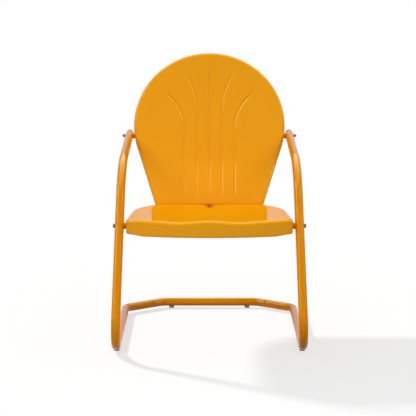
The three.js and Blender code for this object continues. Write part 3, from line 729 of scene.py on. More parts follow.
def bent_path(corners, bends, step):
    """A path through corners, with a round bend at each corner between the ends."""
    points = [corners[0]]
    for before, corner, after, bend in zip(corners, corners[1:], corners[2:], bends):
        inwards = (before - corner).normalized()
        outwards = (after - corner).normalized()
        half_turn = (math.pi - inwards.angle(outwards)) / 2
        middle = (inwards + outwards).normalized()
        centre = corner + middle * (bend / math.cos(half_turn))
        start = corner + inwards * bend * math.tan(half_turn) - centre
        axis = inwards.cross(outwards).normalized()
        steps = max(2, math.ceil(2 * half_turn / step))
        for number in range(steps + 1):
            turn = Matrix.Rotation(-2 * half_turn * number / steps, 3, axis)
            points.append(centre + turn @ start)
    return points + [corners[-1]]


def tube_mesh(scene, name, points, widths):
    """A tube along points, with a share of the full width at each."""
    tube = scene.chair_tube
    seed = bpy.data.meshes.new(name)
    seed.from_pydata(points, [(i, i + 1) for i in range(len(points) - 1)], [])
    width = seed.attributes.new("width", "FLOAT", "POINT")
    width.data.foreach_set("value", widths)
    mesh = grown(name, seed, tree_of("bent_tube"), {
        "Radius": tube.diameter / 2, "Sides": tube.sides, "Material": finish_of(scene, "tube_enamel")})
    return shaded(mesh)


ROUND_STEPS = 5
MOUTH_STEP = 0.01 * MM


def rounded_end(plan, end, direction, inner_radius):
    """Points and widths that round a tube's end over towards its bore."""
    radius, rounding = plan.radius, plan.tube.seam_round
    points, widths = [], []
    for turn in [0.0] + quarter(ROUND_STEPS):
        points.append(end - direction * rounding * (1 - math.sin(turn)))
        widths.append((radius - rounding * (1 - math.cos(turn))) / radius)
    points.append(end + direction * MOUTH_STEP)
    widths.append(inner_radius / radius)
    return points, widths


def build_side_frames(scene):
    plan = Plan(scene)
    tube = plan.tube
    path = bent_path([plan.arm_end, plan.arm_corner, plan.floor_corner, plan.rear_corner, plan.seam],
                     [tube.arm_bend, tube.floor_bend, tube.base_bend], tube.bend_step)
    spigot_radius = plan.radius - tube.wall - plan.gap
    end_points, end_widths = rounded_end(plan, plan.seam, plan.seam_direction, spigot_radius)
    points = path[:-1] + end_points + [plan.seam + plan.seam_direction * tube.spigot_length]
    widths = [1.0] * (len(path) - 1) + end_widths + [spigot_radius / plan.radius]
    for side, turn in SIDES:
        mesh = tube_mesh(scene, f"{side}_tube", [turn(point) for point in points], widths)
        stand(scene, f"{side}_bent_tube", mesh, "tube_enamel", f"{side}_side_frame")


def build_base_bar(scene):
    plan = Plan(scene)
    tube = plan.tube
    start = plan.seam + plan.seam_direction * tube.seam_width
    path = bent_path([start, plan.bar_corner, mirrored(plan.bar_corner), mirrored(start)],
                     [tube.base_bend, tube.base_bend], tube.bend_step)
    first, first_widths = rounded_end(plan, start, -plan.seam_direction, plan.radius - tube.wall)
    last = [mirrored(point) for point in first]
    points = first[::-1] + path[1:-1] + last
    widths = first_widths[::-1] + [1.0] * (len(path) - 2) + first_widths
    mesh = tube_mesh(scene, "rear_tube", points, widths)
    stand(scene, "rear_bent_tube", mesh, "tube_enamel", "rear_base_bar")


# Pressed pans

def unit(vectors):
    return vectors / np.hypot(*vectors.T)[:, None]


def right_of(travel):
    """Unit vectors that point to the right of the way a line runs."""
    return unit(np.column_stack([travel[:, 1], -travel[:, 0]]))


def reach_of(points):
    """How far along a line each of its points lies."""
    return np.concatenate([[0], np.cumsum(np.hypot(*np.diff(points, axis=0).T))])


def values_at(places, reach, values):
    return np.column_stack([np.interp(places, reach, values[:, axis]) for axis in (0, 1)])


SAME_POINT = 0.001 * MM


class Outline:
    """Right half of a pan's edge, drawn in from the outer line by a set distance."""

    def __init__(self, points, inset):
        points = np.array(points)
        keep = np.concatenate([[True], np.hypot(*np.diff(points, axis=0).T) > SAME_POINT])
        points = points[keep]
        travel = np.gradient(points, axis=0)
        travel[0] = (1, 0)
        travel[-1] = (-1, 0)
        self.out = right_of(travel)
        self.edge = points - inset * self.out
        self.reach = reach_of(self.edge)
        self.length = self.reach[-1]

    def at(self, places):
        return values_at(places, self.reach, self.edge)

    def outwards(self, places):
        return unit(values_at(places, self.reach, self.out))

    def nearest(self, point):
        return self.reach[np.argmin(np.hypot(*(self.edge - np.array(point)).T))]

    def column(self, low, high, rows):
        """A stretch of the edge itself as the last column of a pan's mesh."""
        return Column(self.at(np.linspace(low, high, rows)), low, high)


LINE_STEPS = 24
CURVE_STEPS = 32


def line(start, end, steps=LINE_STEPS):
    return [(start[0] + (end[0] - start[0]) * i / steps, start[1] + (end[1] - start[1]) * i / steps)
            for i in range(steps + 1)]


def curve(start, control, end):
    points = []
    for number in range(CURVE_STEPS + 1):
        t = number / CURVE_STEPS
        points.append(tuple((1 - t) ** 2 * a + 2 * t * (1 - t) * b + t * t * c
                            for a, b, c in zip(start, control, end)))
    return points


class Column:
    """One line of a pan's mesh, between the places low and high on its outline."""

    def __init__(self, track, low, high, depth=None):
        self.track = track
        self.low = low
        self.high = high
        self.depth = np.zeros(len(track)) if depth is None else depth


def even(points, number):
    """A curve as evenly spaced points, and how far along each lies."""
    points = np.array(points)
    reach = reach_of(points)
    places = np.linspace(0, reach[-1], number)
    return values_at(places, reach, points), places


def between(first, last, number):
    """Columns spread evenly between two others."""
    columns = []
    for step in range(1, number):
        part = step / number
        columns.append(Column(first.track * (1 - part) + last.track * part,
                              first.low * (1 - part) + last.low * part,
                              first.high * (1 - part) + last.high * part))
    return columns


# How late a column leaves its own track for the outline
EDGE_PULL = 3


def fitted(column, outline):
    """A column's points, eased at both ends onto the outline."""
    t = np.linspace(0, 1, len(column.track))[:, None]
    low = outline.at([column.low])[0] - column.track[0]
    high = outline.at([column.high])[0] - column.track[-1]
    return column.track + (1 - t) ** EDGE_PULL * low + t ** EDGE_PULL * high


def smoothstep(values, low, high):
    t = np.clip((values - low) / (high - low), 0, 1)
    return t * t * (3 - 2 * t)


ROLL_STEPS = 9
LIP_STEPS = 6
HEM_STEPS = 4
# Where the lip rises towards the sides, as shares of the half width
LIP_RISE_SHARES = (0.8, 0.97)


def pan_mesh(name, panel, outline, columns, face, pan, limit):
    """A pressed pan of sheet steel: dished face, rolled edge, lip and rounded free edge.

    The columns run from the middle to the side, and the left half mirrors them. face gives the
    sheet's height over the panel's plane, and limit how far along the plane the roll and the lip
    may reach at a height.
    """
    half = np.stack([fitted(column, outline) for column in columns], axis=1)
    depth = np.stack([column.depth for column in columns], axis=1)
    grid = np.concatenate([half[:, :0:-1] * (-1, 1), half], axis=1)
    groove = np.concatenate([depth[:, :0:-1], depth], axis=1)
    rows, across = groove.shape
    flat = grid.reshape(-1, 2)
    heights = face(flat[:, 0], flat[:, 1]) - groove.reshape(-1)

    lows = [column.low for column in columns]
    highs = [column.high for column in columns]
    sides = np.linspace(lows[-1], highs[-1], rows)
    loop, places, signs = [], [], []

    def visit(row, column, spot, sign):
        loop.append(row * across + column)
        places.append(spot)
        signs.append(sign)

    middle = len(columns) - 1
    for column in range(across):
        visit(0, column, lows[abs(column - middle)], np.sign(column - middle))
    for row in range(1, rows):
        visit(row, across - 1, sides[row], 1)
    for column in range(across - 2, -1, -1):
        visit(rows - 1, column, highs[abs(column - middle)], np.sign(column - middle))
    for row in range(rows - 2, 0, -1):
        visit(row, 0, sides[row], -1)

    out = outline.outwards(places)
    out[:, 0] *= np.where(np.array(signs) < 0, -1, 1)
    rim, rim_heights = flat[loop], heights[loop]
    edge, roll = pan.edge_radius, pan.lip_roll
    wide = np.abs(rim[:, 0]) / np.abs(rim[:, 0]).max()
    foot = roll - pan.lip + pan.lip_rise * smoothstep(wide, *LIP_RISE_SHARES)
    steps = [(edge * math.sin(turn), rim_heights - edge * (1 - math.cos(turn)))
             for turn in quarter(ROLL_STEPS)]
    for number in range(1, LIP_STEPS + 1):
        part = number / LIP_STEPS
        steps.append((edge, (rim_heights - edge) * (1 - part) + foot * part))
    steps += [(edge - roll * (1 - math.cos(turn)), foot - roll * math.sin(turn))
              for turn in quarter(HEM_STEPS)]
    skin = [panel.points(flat, heights)]
    for reach, level in steps:
        spots = rim + out * reach
        spots[:, 1] = np.minimum(spots[:, 1], limit(level))
        skin.append(panel.points(spots, level))

    faces = [(r * across + c, r * across + c + 1, (r + 1) * across + c + 1, (r + 1) * across + c)
             for r in range(rows - 1) for c in range(across - 1)]
    around = len(loop)
    rings = [loop] + [[len(flat) + k * around + i for i in range(around)] for k in range(len(steps))]
    return closed_sheet(name, np.concatenate(skin), faces + strips(rings), rings[-1], rings[-2], pan.sheet)


def closed_sheet(name, skin, faces, free_edge, row_above, thickness):
    """Gives a skin its second side and a rounded free edge."""
    draft = bpy.data.meshes.new(f"{name}_skin")
    draft.from_pydata(skin.tolist(), [], faces)
    normals = np.empty(len(skin) * 3)
    draft.vertex_normals.foreach_get("vector", normals)
    normals = normals.reshape(-1, 3)
    bpy.data.meshes.remove(draft)
    inner = skin - normals * thickness
    size = len(skin)
    edge = skin[free_edge]
    down = edge - skin[row_above]
    down /= np.linalg.norm(down, axis=1)[:, None]
    outward = normals[free_edge]
    rings = [list(free_edge)]
    extra = []
    for number in range(1, HEM_STEPS):
        turn = math.pi * number / HEM_STEPS
        spots = (edge - outward * thickness / 2
                 + thickness / 2 * (math.cos(turn) * outward + math.sin(turn) * down))
        start = 2 * size + len(extra) * len(free_edge)
        rings.append([start + i for i in range(len(free_edge))])
        extra.append(spots)
    rings.append([size + vertex for vertex in free_edge])
    inner_faces = [tuple(size + vertex for vertex in reversed(face)) for face in faces]
    return mesh_of(name, np.concatenate([skin, inner] + extra), faces + inner_faces + strips(rings))


# Seat

# Places on the seat as shares of its half width, or of its half width and its depth
SEAT_SHARES = {
    "front_width": 0.8, "front_bend": 0.5, "side_end": (0.978, 0.62), "sweep_bend": (0.962, 0.86),
    "rear_corner": (0.735, 0.968), "rear_edge": 0.62, "dish_peak": 0.6, "thigh_place": 0.36,
    "thigh_width": 0.24, "crown": 0.2,
}
# Mesh lines beside the drain valley, as shares of its half width
VALLEY_COLUMN_SHARES = (0.16, 0.33, 0.5, 0.68, 0.88, 1.1, 1.4, 1.8, 2.4, 3.4)
VALLEY_SHARPNESS = 1.3
SPACER_LAND = 3 * MM


def build_seat(scene):
    plan = Plan(scene)
    seat = plan.seat
    width, depth = plan.seat_half_width, plan.seat_depth
    spacer_reach = scene.chair_fasteners.spacer / 2 + SPACER_LAND
    corner = SEAT_SHARES["front_width"] * width
    bend = SEAT_SHARES["front_bend"] * corner
    slant = seat.front_bow + (width - corner) * seat.front_bow / (corner - bend)
    side_end, sweep_bend, rear_corner = (
        (SEAT_SHARES[spot][0] * width, SEAT_SHARES[spot][1] * depth)
        for spot in ("side_end", "sweep_bend", "rear_corner"))
    rear_end = (SEAT_SHARES["rear_edge"] * width, depth)
    rear_bend = ((rear_corner[0] + rear_end[0]) / 2, depth)
    straight = (seat.ahead_of_bolt - spacer_reach, seat.ahead_of_bolt + spacer_reach)
    points = (curve((0, 0), (bend, 0), (corner, seat.front_bow))
              + curve((corner, seat.front_bow), (width, slant), (width, straight[0]))
              + line((width, straight[0]), (width, straight[1]))
              + line((width, straight[1]), side_end)
              + curve(side_end, sweep_bend, rear_corner)
              + curve(rear_corner, rear_bend, rear_end)
              + line(rear_end, (0, depth)))
    outline = Outline(points, seat.edge_radius)
    side_low = outline.nearest((width - seat.edge_radius, slant))
    side_high = outline.nearest((rear_corner[0], rear_corner[1] - seat.edge_radius))
    rows = seat.rows + 1

    def column(low, high):
        ends = outline.at([low, high])
        return Column(even(line(ends[0], ends[1]), rows)[0], low, high)

    middle = column(0.0, outline.length)
    offsets = [part * seat.valley_width for part in VALLEY_COLUMN_SHARES]
    near = [column(offset, outline.length - offset) for offset in offsets]
    side = outline.column(side_low, side_high, rows)
    columns = [middle] + near + between(near[-1], side, seat.columns) + [side]

    def face(across, along):
        x = across / width
        y = np.clip(along / depth, 0, 1)
        swell = np.sin(math.pi * y ** (math.log(2) / -math.log(SEAT_SHARES["dish_peak"])))
        hollow = seat.dish * np.maximum(1 - x * x, 0) * swell
        thighs = np.exp(-((np.abs(x) - SEAT_SHARES["thigh_place"]) / SEAT_SHARES["thigh_width"]) ** 2)
        crown = np.exp(-(x / SEAT_SHARES["crown"]) ** 2)
        valley = (np.exp(-(np.abs(across) / seat.valley_width) ** VALLEY_SHARPNESS)
                  * smoothstep(along, depth - seat.valley_length, depth))
        return (-hollow - seat.thigh_dip * thighs * (1 - y) + seat.crown * crown * (1 - y) ** 2
                - seat.valley_depth * valley)

    def limit(level):
        return depth + np.minimum(level + seat.edge_radius, 0) * math.tan(plan.rear_lip_lean)

    mesh = pan_mesh("seat_shell", plan.seat_panel, outline, columns, face, seat, limit)
    stand(scene, "pressed_seat", mesh, "pan_enamel", "seat_pan")


# Back

SIDE_STEPS = 48
ARC_STEPS = 60
# Mesh lines beside a groove, as shares of its half width
GROOVE_OFFSET_SHARES = (0.16, 0.32, 0.48, 0.62, 0.74, 0.86, 0.96, 1.04, 1.2)


def groove_half_width(back):
    reach = back.groove_floor + back.groove_shoulder
    return reach * math.sin(math.acos(1 - back.groove_depth / reach))


def groove_offsets(back):
    """Where the mesh lines of a groove lie to its left and right."""
    right = [part * groove_half_width(back) for part in GROOVE_OFFSET_SHARES]
    return [-offset for offset in reversed(right)] + [0.0] + right


def groove_depth(back, offset):
    """Depth of a groove with a round floor and round shoulders."""
    offset = abs(offset)
    edge = groove_half_width(back)
    turn = edge * back.groove_floor / (back.groove_floor + back.groove_shoulder)
    if offset < turn:
        return back.groove_depth - back.groove_floor + math.sqrt(back.groove_floor ** 2 - offset ** 2)
    if offset < edge:
        return back.groove_shoulder - math.sqrt(back.groove_shoulder ** 2 - (edge - offset) ** 2)
    return 0.0


def build_back(scene):
    plan = Plan(scene)
    back = plan.back
    radius, low = plan.back_radius, plan.lower_edge
    taper = Vector((math.sin(back.taper), math.cos(back.taper)))
    tangent = Vector((radius * math.cos(back.taper), -radius * math.sin(back.taper)))
    corner = tangent - taper * (tangent.y - low) / taper.y
    corner_start = corner - Vector((back.corner_radius, 0))
    corner_end = corner + back.corner_radius * taper
    arc = []
    for number in range(ARC_STEPS + 1):
        turn = -back.taper + (math.pi / 2 + back.taper) * number / ARC_STEPS
        arc.append((radius * math.cos(turn), radius * math.sin(turn)))
    points = (line((0, low), corner_start) + curve(corner_start, corner, corner_end)
              + line(corner_end, tangent, SIDE_STEPS) + arc)
    outline = Outline(points, back.edge_radius)
    inner = radius - back.edge_radius
    side_low = outline.nearest(corner)
    side_high = outline.nearest((inner * math.cos(back.corner_rise), inner * math.sin(back.corner_rise)))
    rows = back.rows + 1
    start = low + back.edge_radius
    foot = plan.seat_line + back.groove_foot
    offsets = groove_offsets(back)

    def groove(spacing, bend_height, bend_radius, sweep):
        """Columns along one groove, which stands upright, turns outwards and ends with its bend."""
        points = [(spacing, start), (spacing, bend_height)]
        centre = spacing + bend_radius
        for number in range(1, ARC_STEPS + 1):
            turn = sweep * number / ARC_STEPS
            points.append((centre - bend_radius * math.cos(turn),
                           bend_height + bend_radius * math.sin(turn)))
        heading = Vector((math.sin(sweep), math.cos(sweep)))
        last = Vector(points[-1])
        ahead = -last.dot(heading) + math.sqrt(last.dot(heading) ** 2 - last.dot(last) + inner ** 2)
        points.append(tuple(last + heading * ahead))
        track, reach = even(points, rows)
        right = right_of(np.gradient(track, axis=0))
        end_reach = bend_height - start + bend_radius * sweep
        strength = (smoothstep(reach, foot - start, foot - start + back.groove_run_out)
                    * (1 - smoothstep(reach, end_reach - back.groove_run_out, end_reach)))
        high = outline.nearest(track[-1])
        columns = []
        for offset in offsets:
            if spacing == 0 and offset < 0:
                continue
            columns.append(Column(track + offset * right, spacing + offset, high - offset,
                                  groove_depth(back, offset) * strength))
        return columns

    middle = groove(0, back.middle_top, radius, 0)
    inner_groove = groove(back.inner_spacing, back.inner_height, back.inner_radius, back.inner_sweep)
    outer_groove = groove(back.outer_spacing, back.outer_height, back.outer_radius, back.outer_sweep)
    side = outline.column(side_low, side_high, rows)
    columns = (middle + between(middle[-1], inner_groove[0], back.columns) + inner_groove
               + between(inner_groove[-1], outer_groove[0], back.columns) + outer_groove
               + between(outer_groove[-1], side, 2 * back.columns) + [side])

    def face(across, along):
        inside = 1 - (across ** 2 + np.maximum(along, 0) ** 2) / radius ** 2
        rise = smoothstep(along, plan.seat_line, plan.seat_line + back.dish_rise)
        return -back.dish * np.maximum(inside, 0) * rise

    mesh = pan_mesh("back_shell", plan.back_panel, outline, columns, face, back, lambda level: math.inf)
    stand(scene, "pressed_back", mesh, "pan_enamel", "back_panel")


# Turned pieces

def ring(radius, height):
    return lambda turn: (radius, height)


HEX_TURN = math.radians(60)
HEX_BEVEL_SHARE = 0.96
HEX_BEVEL_ANGLE = math.radians(30)


def hexagon(across, height, facing):
    """A row round a hexagon, with the bevel of an upper face for 1, of a lower for -1, or sharp for 0."""
    def spot(turn):
        part = (turn + HEX_TURN / 2) % HEX_TURN - HEX_TURN / 2
        radius = across / 2 / math.cos(part)
        past = max(0.0, radius - across / 2 * HEX_BEVEL_SHARE)
        return radius, height - facing * past * math.tan(HEX_BEVEL_ANGLE)
    return spot


def hexagon_block(across, low, high):
    """Rows of a hexagon that is bevelled below and above."""
    flat = across / 2 * HEX_BEVEL_SHARE
    return [ring(flat, low), hexagon(across, low, -1), hexagon(across, high, 1), ring(flat, high)]


DOME_STEPS = 8


def dome(radius, foot, rise):
    """Rows from a rim at the foot over a dome to its pole."""
    sides = [ring(radius * math.cos(turn), foot + rise * math.sin(turn))
             for turn in quarter(DOME_STEPS)[:-1]]
    return sides + [ring(0, foot + rise)]


def turned(name, rows, sides, bored=False):
    """A solid round the Z axis, with a pole at each end or a bore through it.

    Each row gives its radius and its height by the turn round the axis.
    """
    vertices, rings = [], []
    for row in rows:
        spots = [row(2 * math.pi * i / sides) for i in range(sides)]
        if max(radius for radius, height in spots) == 0:
            rings.append([len(vertices)] * sides)
            vertices.append((0, 0, spots[0][1]))
            continue
        rings.append([len(vertices) + i for i in range(sides)])
        for number, (radius, height) in enumerate(spots):
            turn = 2 * math.pi * number / sides
            vertices.append((radius * math.cos(turn), radius * math.sin(turn), height))
    return mesh_of(name, vertices, strips(rings, closed=bored))


THREAD_ROWS = 6


def thread(bolt, low, high, pitch, depth):
    """Rows of a screw thread from low to high."""
    number = max(2, math.ceil((high - low) / pitch * THREAD_ROWS))
    rows = []
    for step in range(number + 1):
        height = low + (high - low) * step / number

        def spot(turn, height=height):
            wave = math.cos(2 * math.pi * height / pitch - turn)
            return bolt / 2 - depth / 2 + depth / 2 * wave, height
        rows.append(spot)
    return rows


def set_out(scene, name, shape_mesh, places, finish):
    """One mesh of a shape that is repeated at places, each a point and an axis."""
    shape = bpy.data.objects.new(f"{name}_shape", shape_mesh)
    seed = bpy.data.meshes.new(name)
    seed.from_pydata([tuple(point) for point, axis in places], [], [])
    axes = seed.attributes.new("axis", "FLOAT_VECTOR", "POINT")
    axes.data.foreach_set("vector", [value for point, axis in places for value in axis])
    mesh = grown(name, seed, tree_of("fastening"), {"Shape": shape, "Material": finish_of(scene, finish)})
    bpy.data.objects.remove(shape)
    return shaded(mesh)


RIGHT = Vector((1, 0, 0))


def mirrored_places(point, axis):
    return [(point, axis), (mirrored(point), mirrored(axis))]


def side_places(node):
    """Both sides' places of a piece, at its node's inner end, with axes that point outwards."""
    low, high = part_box(f"right_{node}")
    return mirrored_places(Vector((low.x, (low.y + high.y) / 2, (low.z + high.z) / 2)), RIGHT)


def join_places(scene, plan, out):
    """Places of the bolts that join back and seat, with axes towards the front."""
    fasteners = scene.chair_fasteners
    along = plan.lower_edge + fasteners.join_above_edge
    return [(plan.back_panel.point(step * fasteners.join_spacing, along, out), plan.back_panel.out)
            for step in (-1, 0, 1)]


# Hollow of a bolt's head and where it lies as shares of the head's width, the raised face under the
# head, and how far the tip is drawn in, in depths of the thread
HEAD_DISH = 0.25 * MM
HEAD_DISH_SHARES = (0.36, 0.4)
WASHER_FACE = 0.3 * MM
WASHER_FACE_SHARE = 0.46
BOLT_TIP_DEPTHS = 1.3


def bolt_mesh(name, scene, reach):
    """A hexagon bolt: its bearing face at zero, its threaded end ahead, its head behind."""
    f = scene.chair_fasteners
    top = -f.head_height
    start = max(f.clearance, reach - f.thread_length)
    dish, dish_rim = (f.head_width * part for part in HEAD_DISH_SHARES)
    face = f.head_width * WASHER_FACE_SHARE
    head = [ring(0, top + HEAD_DISH), ring(dish, top + HEAD_DISH), ring(dish_rim, top),
            ring(f.head_width / 2 * HEX_BEVEL_SHARE, top), hexagon(f.head_width, top, -1),
            hexagon(f.head_width, -WASHER_FACE, 0), ring(face, -WASHER_FACE), ring(face, 0)]
    shank = [ring(f.bolt / 2, 0), ring(f.bolt / 2, start)]
    threaded = thread(f.bolt, start, reach - f.thread_depth, f.thread_pitch, f.thread_depth)
    tip = [ring(f.bolt / 2 - f.thread_depth * BOLT_TIP_DEPTHS, reach), ring(0, reach)]
    return turned(name, head + shank + threaded + tip, f.sides)


# Play of a nut's bore round the bolt, as a share of the clearance
THREAD_PLAY_SHARE = 1 / 3


def nut_mesh(name, scene):
    """A hexagon nut, bevelled on both faces, with its bore's mouths countersunk."""
    f = scene.chair_fasteners
    bore, mouth = f.bolt / 2 + f.clearance * THREAD_PLAY_SHARE, f.bolt / 2 + f.thread_depth
    chamfer = mouth - bore
    rows = ([ring(bore, chamfer), ring(mouth, 0)] + hexagon_block(f.nut_width, 0, f.nut_height)
            + [ring(mouth, f.nut_height), ring(bore, f.nut_height - chamfer)])
    return turned(name, rows, f.sides, bored=True)


CAP_FOOT_SHARE = 0.8
CAP_DOME_SHARE = 0.86
CAP_STEP = 0.1 * MM


def cap_nut_mesh(name, scene):
    """A domed nut."""
    f = scene.chair_fasteners
    foot = f.nut_height * CAP_FOOT_SHARE
    radius = f.nut_width / 2 * CAP_DOME_SHARE
    rows = ([ring(0, 0)] + hexagon_block(f.nut_width, 0, foot) + [ring(radius, foot + CAP_STEP)]
            + dome(radius, foot, f.cap_height - foot))
    return turned(name, rows, f.sides)


WASHER_ROUNDING_SHARE = 0.2


def washer_mesh(name, scene):
    """A flat washer with rounded rims."""
    f = scene.chair_fasteners
    bore, edge, top = f.bolt / 2 + f.clearance, f.washer / 2, f.washer_height
    rounding = top * WASHER_ROUNDING_SHARE
    rows = [ring(bore, 0), ring(edge - rounding, 0), ring(edge, rounding), ring(edge, top - rounding),
            ring(edge - rounding, top), ring(bore, top)]
    return turned(name, rows, f.sides, bored=True)


def build_bolts(scene):
    plan = Plan(scene)
    f = scene.chair_fasteners
    behind = -plan.back.sheet - plan.gap
    ahead = plan.seat.sheet + f.nut_height + 4 * plan.gap
    kinds = []
    for node in ("seat_bolt", "back_bolt"):
        low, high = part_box(f"right_{node}")
        mesh = bolt_mesh(node, scene, high.x - low.x - f.head_height)
        places = [(point + axis * f.head_height, axis) for point, axis in side_places(node)]
        kinds.append(set_out(scene, node, mesh, places, "zinc_plate"))
    mesh = bolt_mesh("join_bolt", scene, ahead + f.thread_pitch - behind)
    kinds.append(set_out(scene, "join_bolt", mesh, join_places(scene, plan, behind), "zinc_plate"))
    stand(scene, "hexagon_bolts", joined("bolts", kinds), "zinc_plate",
          *both_sides("seat_bolt", "back_bolt"), "left_join_bolt", "middle_join_bolt", "right_join_bolt")


def build_washers(scene):
    places = side_places("seat_washer") + side_places("back_washer")
    mesh = set_out(scene, "washers", washer_mesh("washer", scene), places, "zinc_plate")
    stand(scene, "plain_washers", mesh, "zinc_plate", *both_sides("seat_washer", "back_washer"))


def build_nuts(scene):
    plan = Plan(scene)
    places = side_places("seat_nut") + join_places(scene, plan, plan.seat.sheet + 2 * plan.gap)
    nuts = set_out(scene, "nuts", nut_mesh("nut", scene), places, "zinc_plate")
    caps = set_out(scene, "caps", cap_nut_mesh("cap", scene), side_places("back_nut"), "zinc_plate")
    stand(scene, "hexagon_nuts", nuts, "zinc_plate",
          *both_sides("seat_nut"), "left_join_nut", "middle_join_nut", "right_join_nut")
    stand(scene, "cap_nuts", caps, "zinc_plate", *both_sides("back_nut"))


HEAD_ROWS = 18
HEAD_SKIRT_SHARE = 0.3
HEAD_FLATNESS = 0.8
# The cross: half the width of an arm and its length, each from where it is deep to where it ends
CROSS_ARM = (0.35 * MM, 0.65 * MM)
CROSS_REACH_SHARES = (0.42, 0.56)
CROSS_DEPTH_SHARE = 0.55
SHANK_SHARE = 0.45
SHANK_RISES = 2


def screw_mesh(name, scene):
    """A pan-head screw with a cross recess."""
    f = scene.chair_fasteners
    edge, rise = f.screw_head / 2, f.screw_head_height
    skirt = rise * HEAD_SKIRT_SHARE
    cross_reach = [edge * part for part in CROSS_REACH_SHARES]

    def head(part):
        radius = edge * math.sin(part * math.pi / 2)
        level = skirt
        if part < 1:
            level += (rise - skirt) * math.cos(part * math.pi / 2) ** HEAD_FLATNESS

        def spot(turn):
            sides = sorted((abs(radius * math.cos(turn)), abs(radius * math.sin(turn))))
            sunk = ((1 - smoothstep(sides[0], *CROSS_ARM))
                    * (1 - smoothstep(sides[1], *cross_reach)))
            return radius, level - rise * CROSS_DEPTH_SHARE * float(sunk)
        return spot

    shank, end = edge * SHANK_SHARE, -rise * SHANK_RISES
    rows = [ring(0, rise * (1 - CROSS_DEPTH_SHARE))]
    rows += [head(step / HEAD_ROWS) for step in range(1, HEAD_ROWS + 1)]
    rows += [ring(edge, 0), ring(shank, 0), ring(shank, end), ring(0, end)]
    return turned(name, rows, 2 * f.sides)


SCREW_SEAT = 0.25 * MM


def build_seam_screws(scene):
    """The screws stand square to the tube, their heads let in a little where it is round."""
    plan = Plan(scene)
    sideways = Vector((plan.seam_direction.y, -plan.seam_direction.x, 0))
    low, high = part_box("right_seam_screw")
    from_seam = (low + high) / 2 - plan.seam
    axis = sideways if from_seam.dot(sideways) > 0 else -sideways
    point = (plan.seam + from_seam.dot(plan.seam_direction) * plan.seam_direction
             + axis * (plan.radius - SCREW_SEAT))
    mesh = set_out(scene, "seam_screws", screw_mesh("screw", scene), mirrored_places(point, axis),
                   "zinc_plate")
    stand(scene, "cross_screws", mesh, "zinc_plate", *both_sides("seam_screw"))


SLEEVE_ROUNDING = 0.7 * MM


def sleeve_shape(centre, near, far, radius, bore, sides):
    """A sleeve across the gap between two surfaces, each given as a distance over its foot points."""
    rounded = radius - SLEEVE_ROUNDING
    rows = ((bore, 0.0, near), (rounded, 0.0, near), (radius, SLEEVE_ROUNDING, near),
            (radius, -SLEEVE_ROUNDING, far), (rounded, 0.0, far), (bore, 0.0, far))
    vertices, rings = [], []
    for row_radius, inset, surface in rows:
        rings.append([len(vertices) + i for i in range(sides)])
        for number in range(sides):
            turn = 2 * math.pi * number / sides
            along, up = row_radius * math.cos(turn), row_radius * math.sin(turn)
            vertices.append((surface(along, up) + inset, centre.y + along, centre.z + up))
    return vertices, strips(rings, closed=True)


def build_spacers(scene):
    plan = Plan(scene)
    f = scene.chair_fasteners
    radius, bore, gap = f.spacer / 2, f.bolt / 2 + f.clearance, plan.gap

    def tube_side(centre, direction):
        """The inner side of a tube that runs along a direction through the centre."""
        rise = math.atan2(direction.z, direction.y)

        def surface(along, up):
            away = up * math.cos(rise) - along * math.sin(rise)
            travel = up * math.sin(rise) + along * math.cos(rise)
            return centre.x + travel * direction.x - math.sqrt((plan.radius + gap) ** 2 - away ** 2)
        return surface

    def seat_side(along, up):
        return plan.seat_half_width + gap

    def back_side(along, up):
        point = Vector((0, plan.back_bolt.y + along, plan.back_bolt.z + up)) - plan.back_panel.origin
        height = point.dot(plan.back_panel.along)
        return math.sqrt(plan.back_radius ** 2 - height ** 2) + gap

    kinds = (("seat_spacer", plan.seat_bolt, seat_side, tube_side(plan.seat_bolt, plan.leg_direction)),
             ("back_spacer", plan.back_bolt, back_side, tube_side(plan.back_bolt, plan.arm_direction)))
    for node, centre, near, far in kinds:
        vertices, faces = sleeve_shape(centre, near, far, radius, bore, f.sides)
        for side, turn in SIDES:
            mesh = mesh_of(f"{side}_{node}", [turn(vertex) for vertex in vertices], faces)
            stand(scene, f"{side}_{node}_sleeve", mesh, "sleeve_enamel", f"{side}_{node}")


PLUG_STEM_RIMS = 3


def build_arm_plugs(scene):
    plan = Plan(scene)
    f = scene.chair_fasteners
    stem = plan.radius - plan.tube.wall - f.clearance
    edge = plan.radius - f.clearance
    inside = -f.plug_rim * PLUG_STEM_RIMS
    rows = [ring(0, inside), ring(stem, inside), ring(stem, f.clearance),
            ring(edge - f.clearance, f.clearance), ring(edge, 2 * f.clearance), ring(edge, f.plug_rim)]
    mesh = turned("plug", rows + dome(edge, f.plug_rim, f.plug_dome), plan.tube.sides)
    plugs = set_out(scene, "plugs", mesh, mirrored_places(plan.arm_end, plan.arm_direction), "tube_enamel")
    stand(scene, "arm_end_plugs", plugs, "tube_enamel", *both_sides("arm_plug"))


GLIDE_ROUND_STEPS = 5
GLIDE_DIMPLE = 0.4 * MM
GLIDE_GROOVE = 0.25 * MM
GLIDE_CHAMFER = 0.5 * MM
# Shares of the glide's radius, of its foot's radius, and of its height from the rounding on
GLIDE_SHARES = {
    "foot": 0.86, "dimple": 0.35, "dimple_rim": 0.45, "flat": 0.9, "rounding": 0.3,
    "groove": (0.62, 0.64, 0.7, 0.72), "shoulder": 0.9, "stem": 1.9,
}


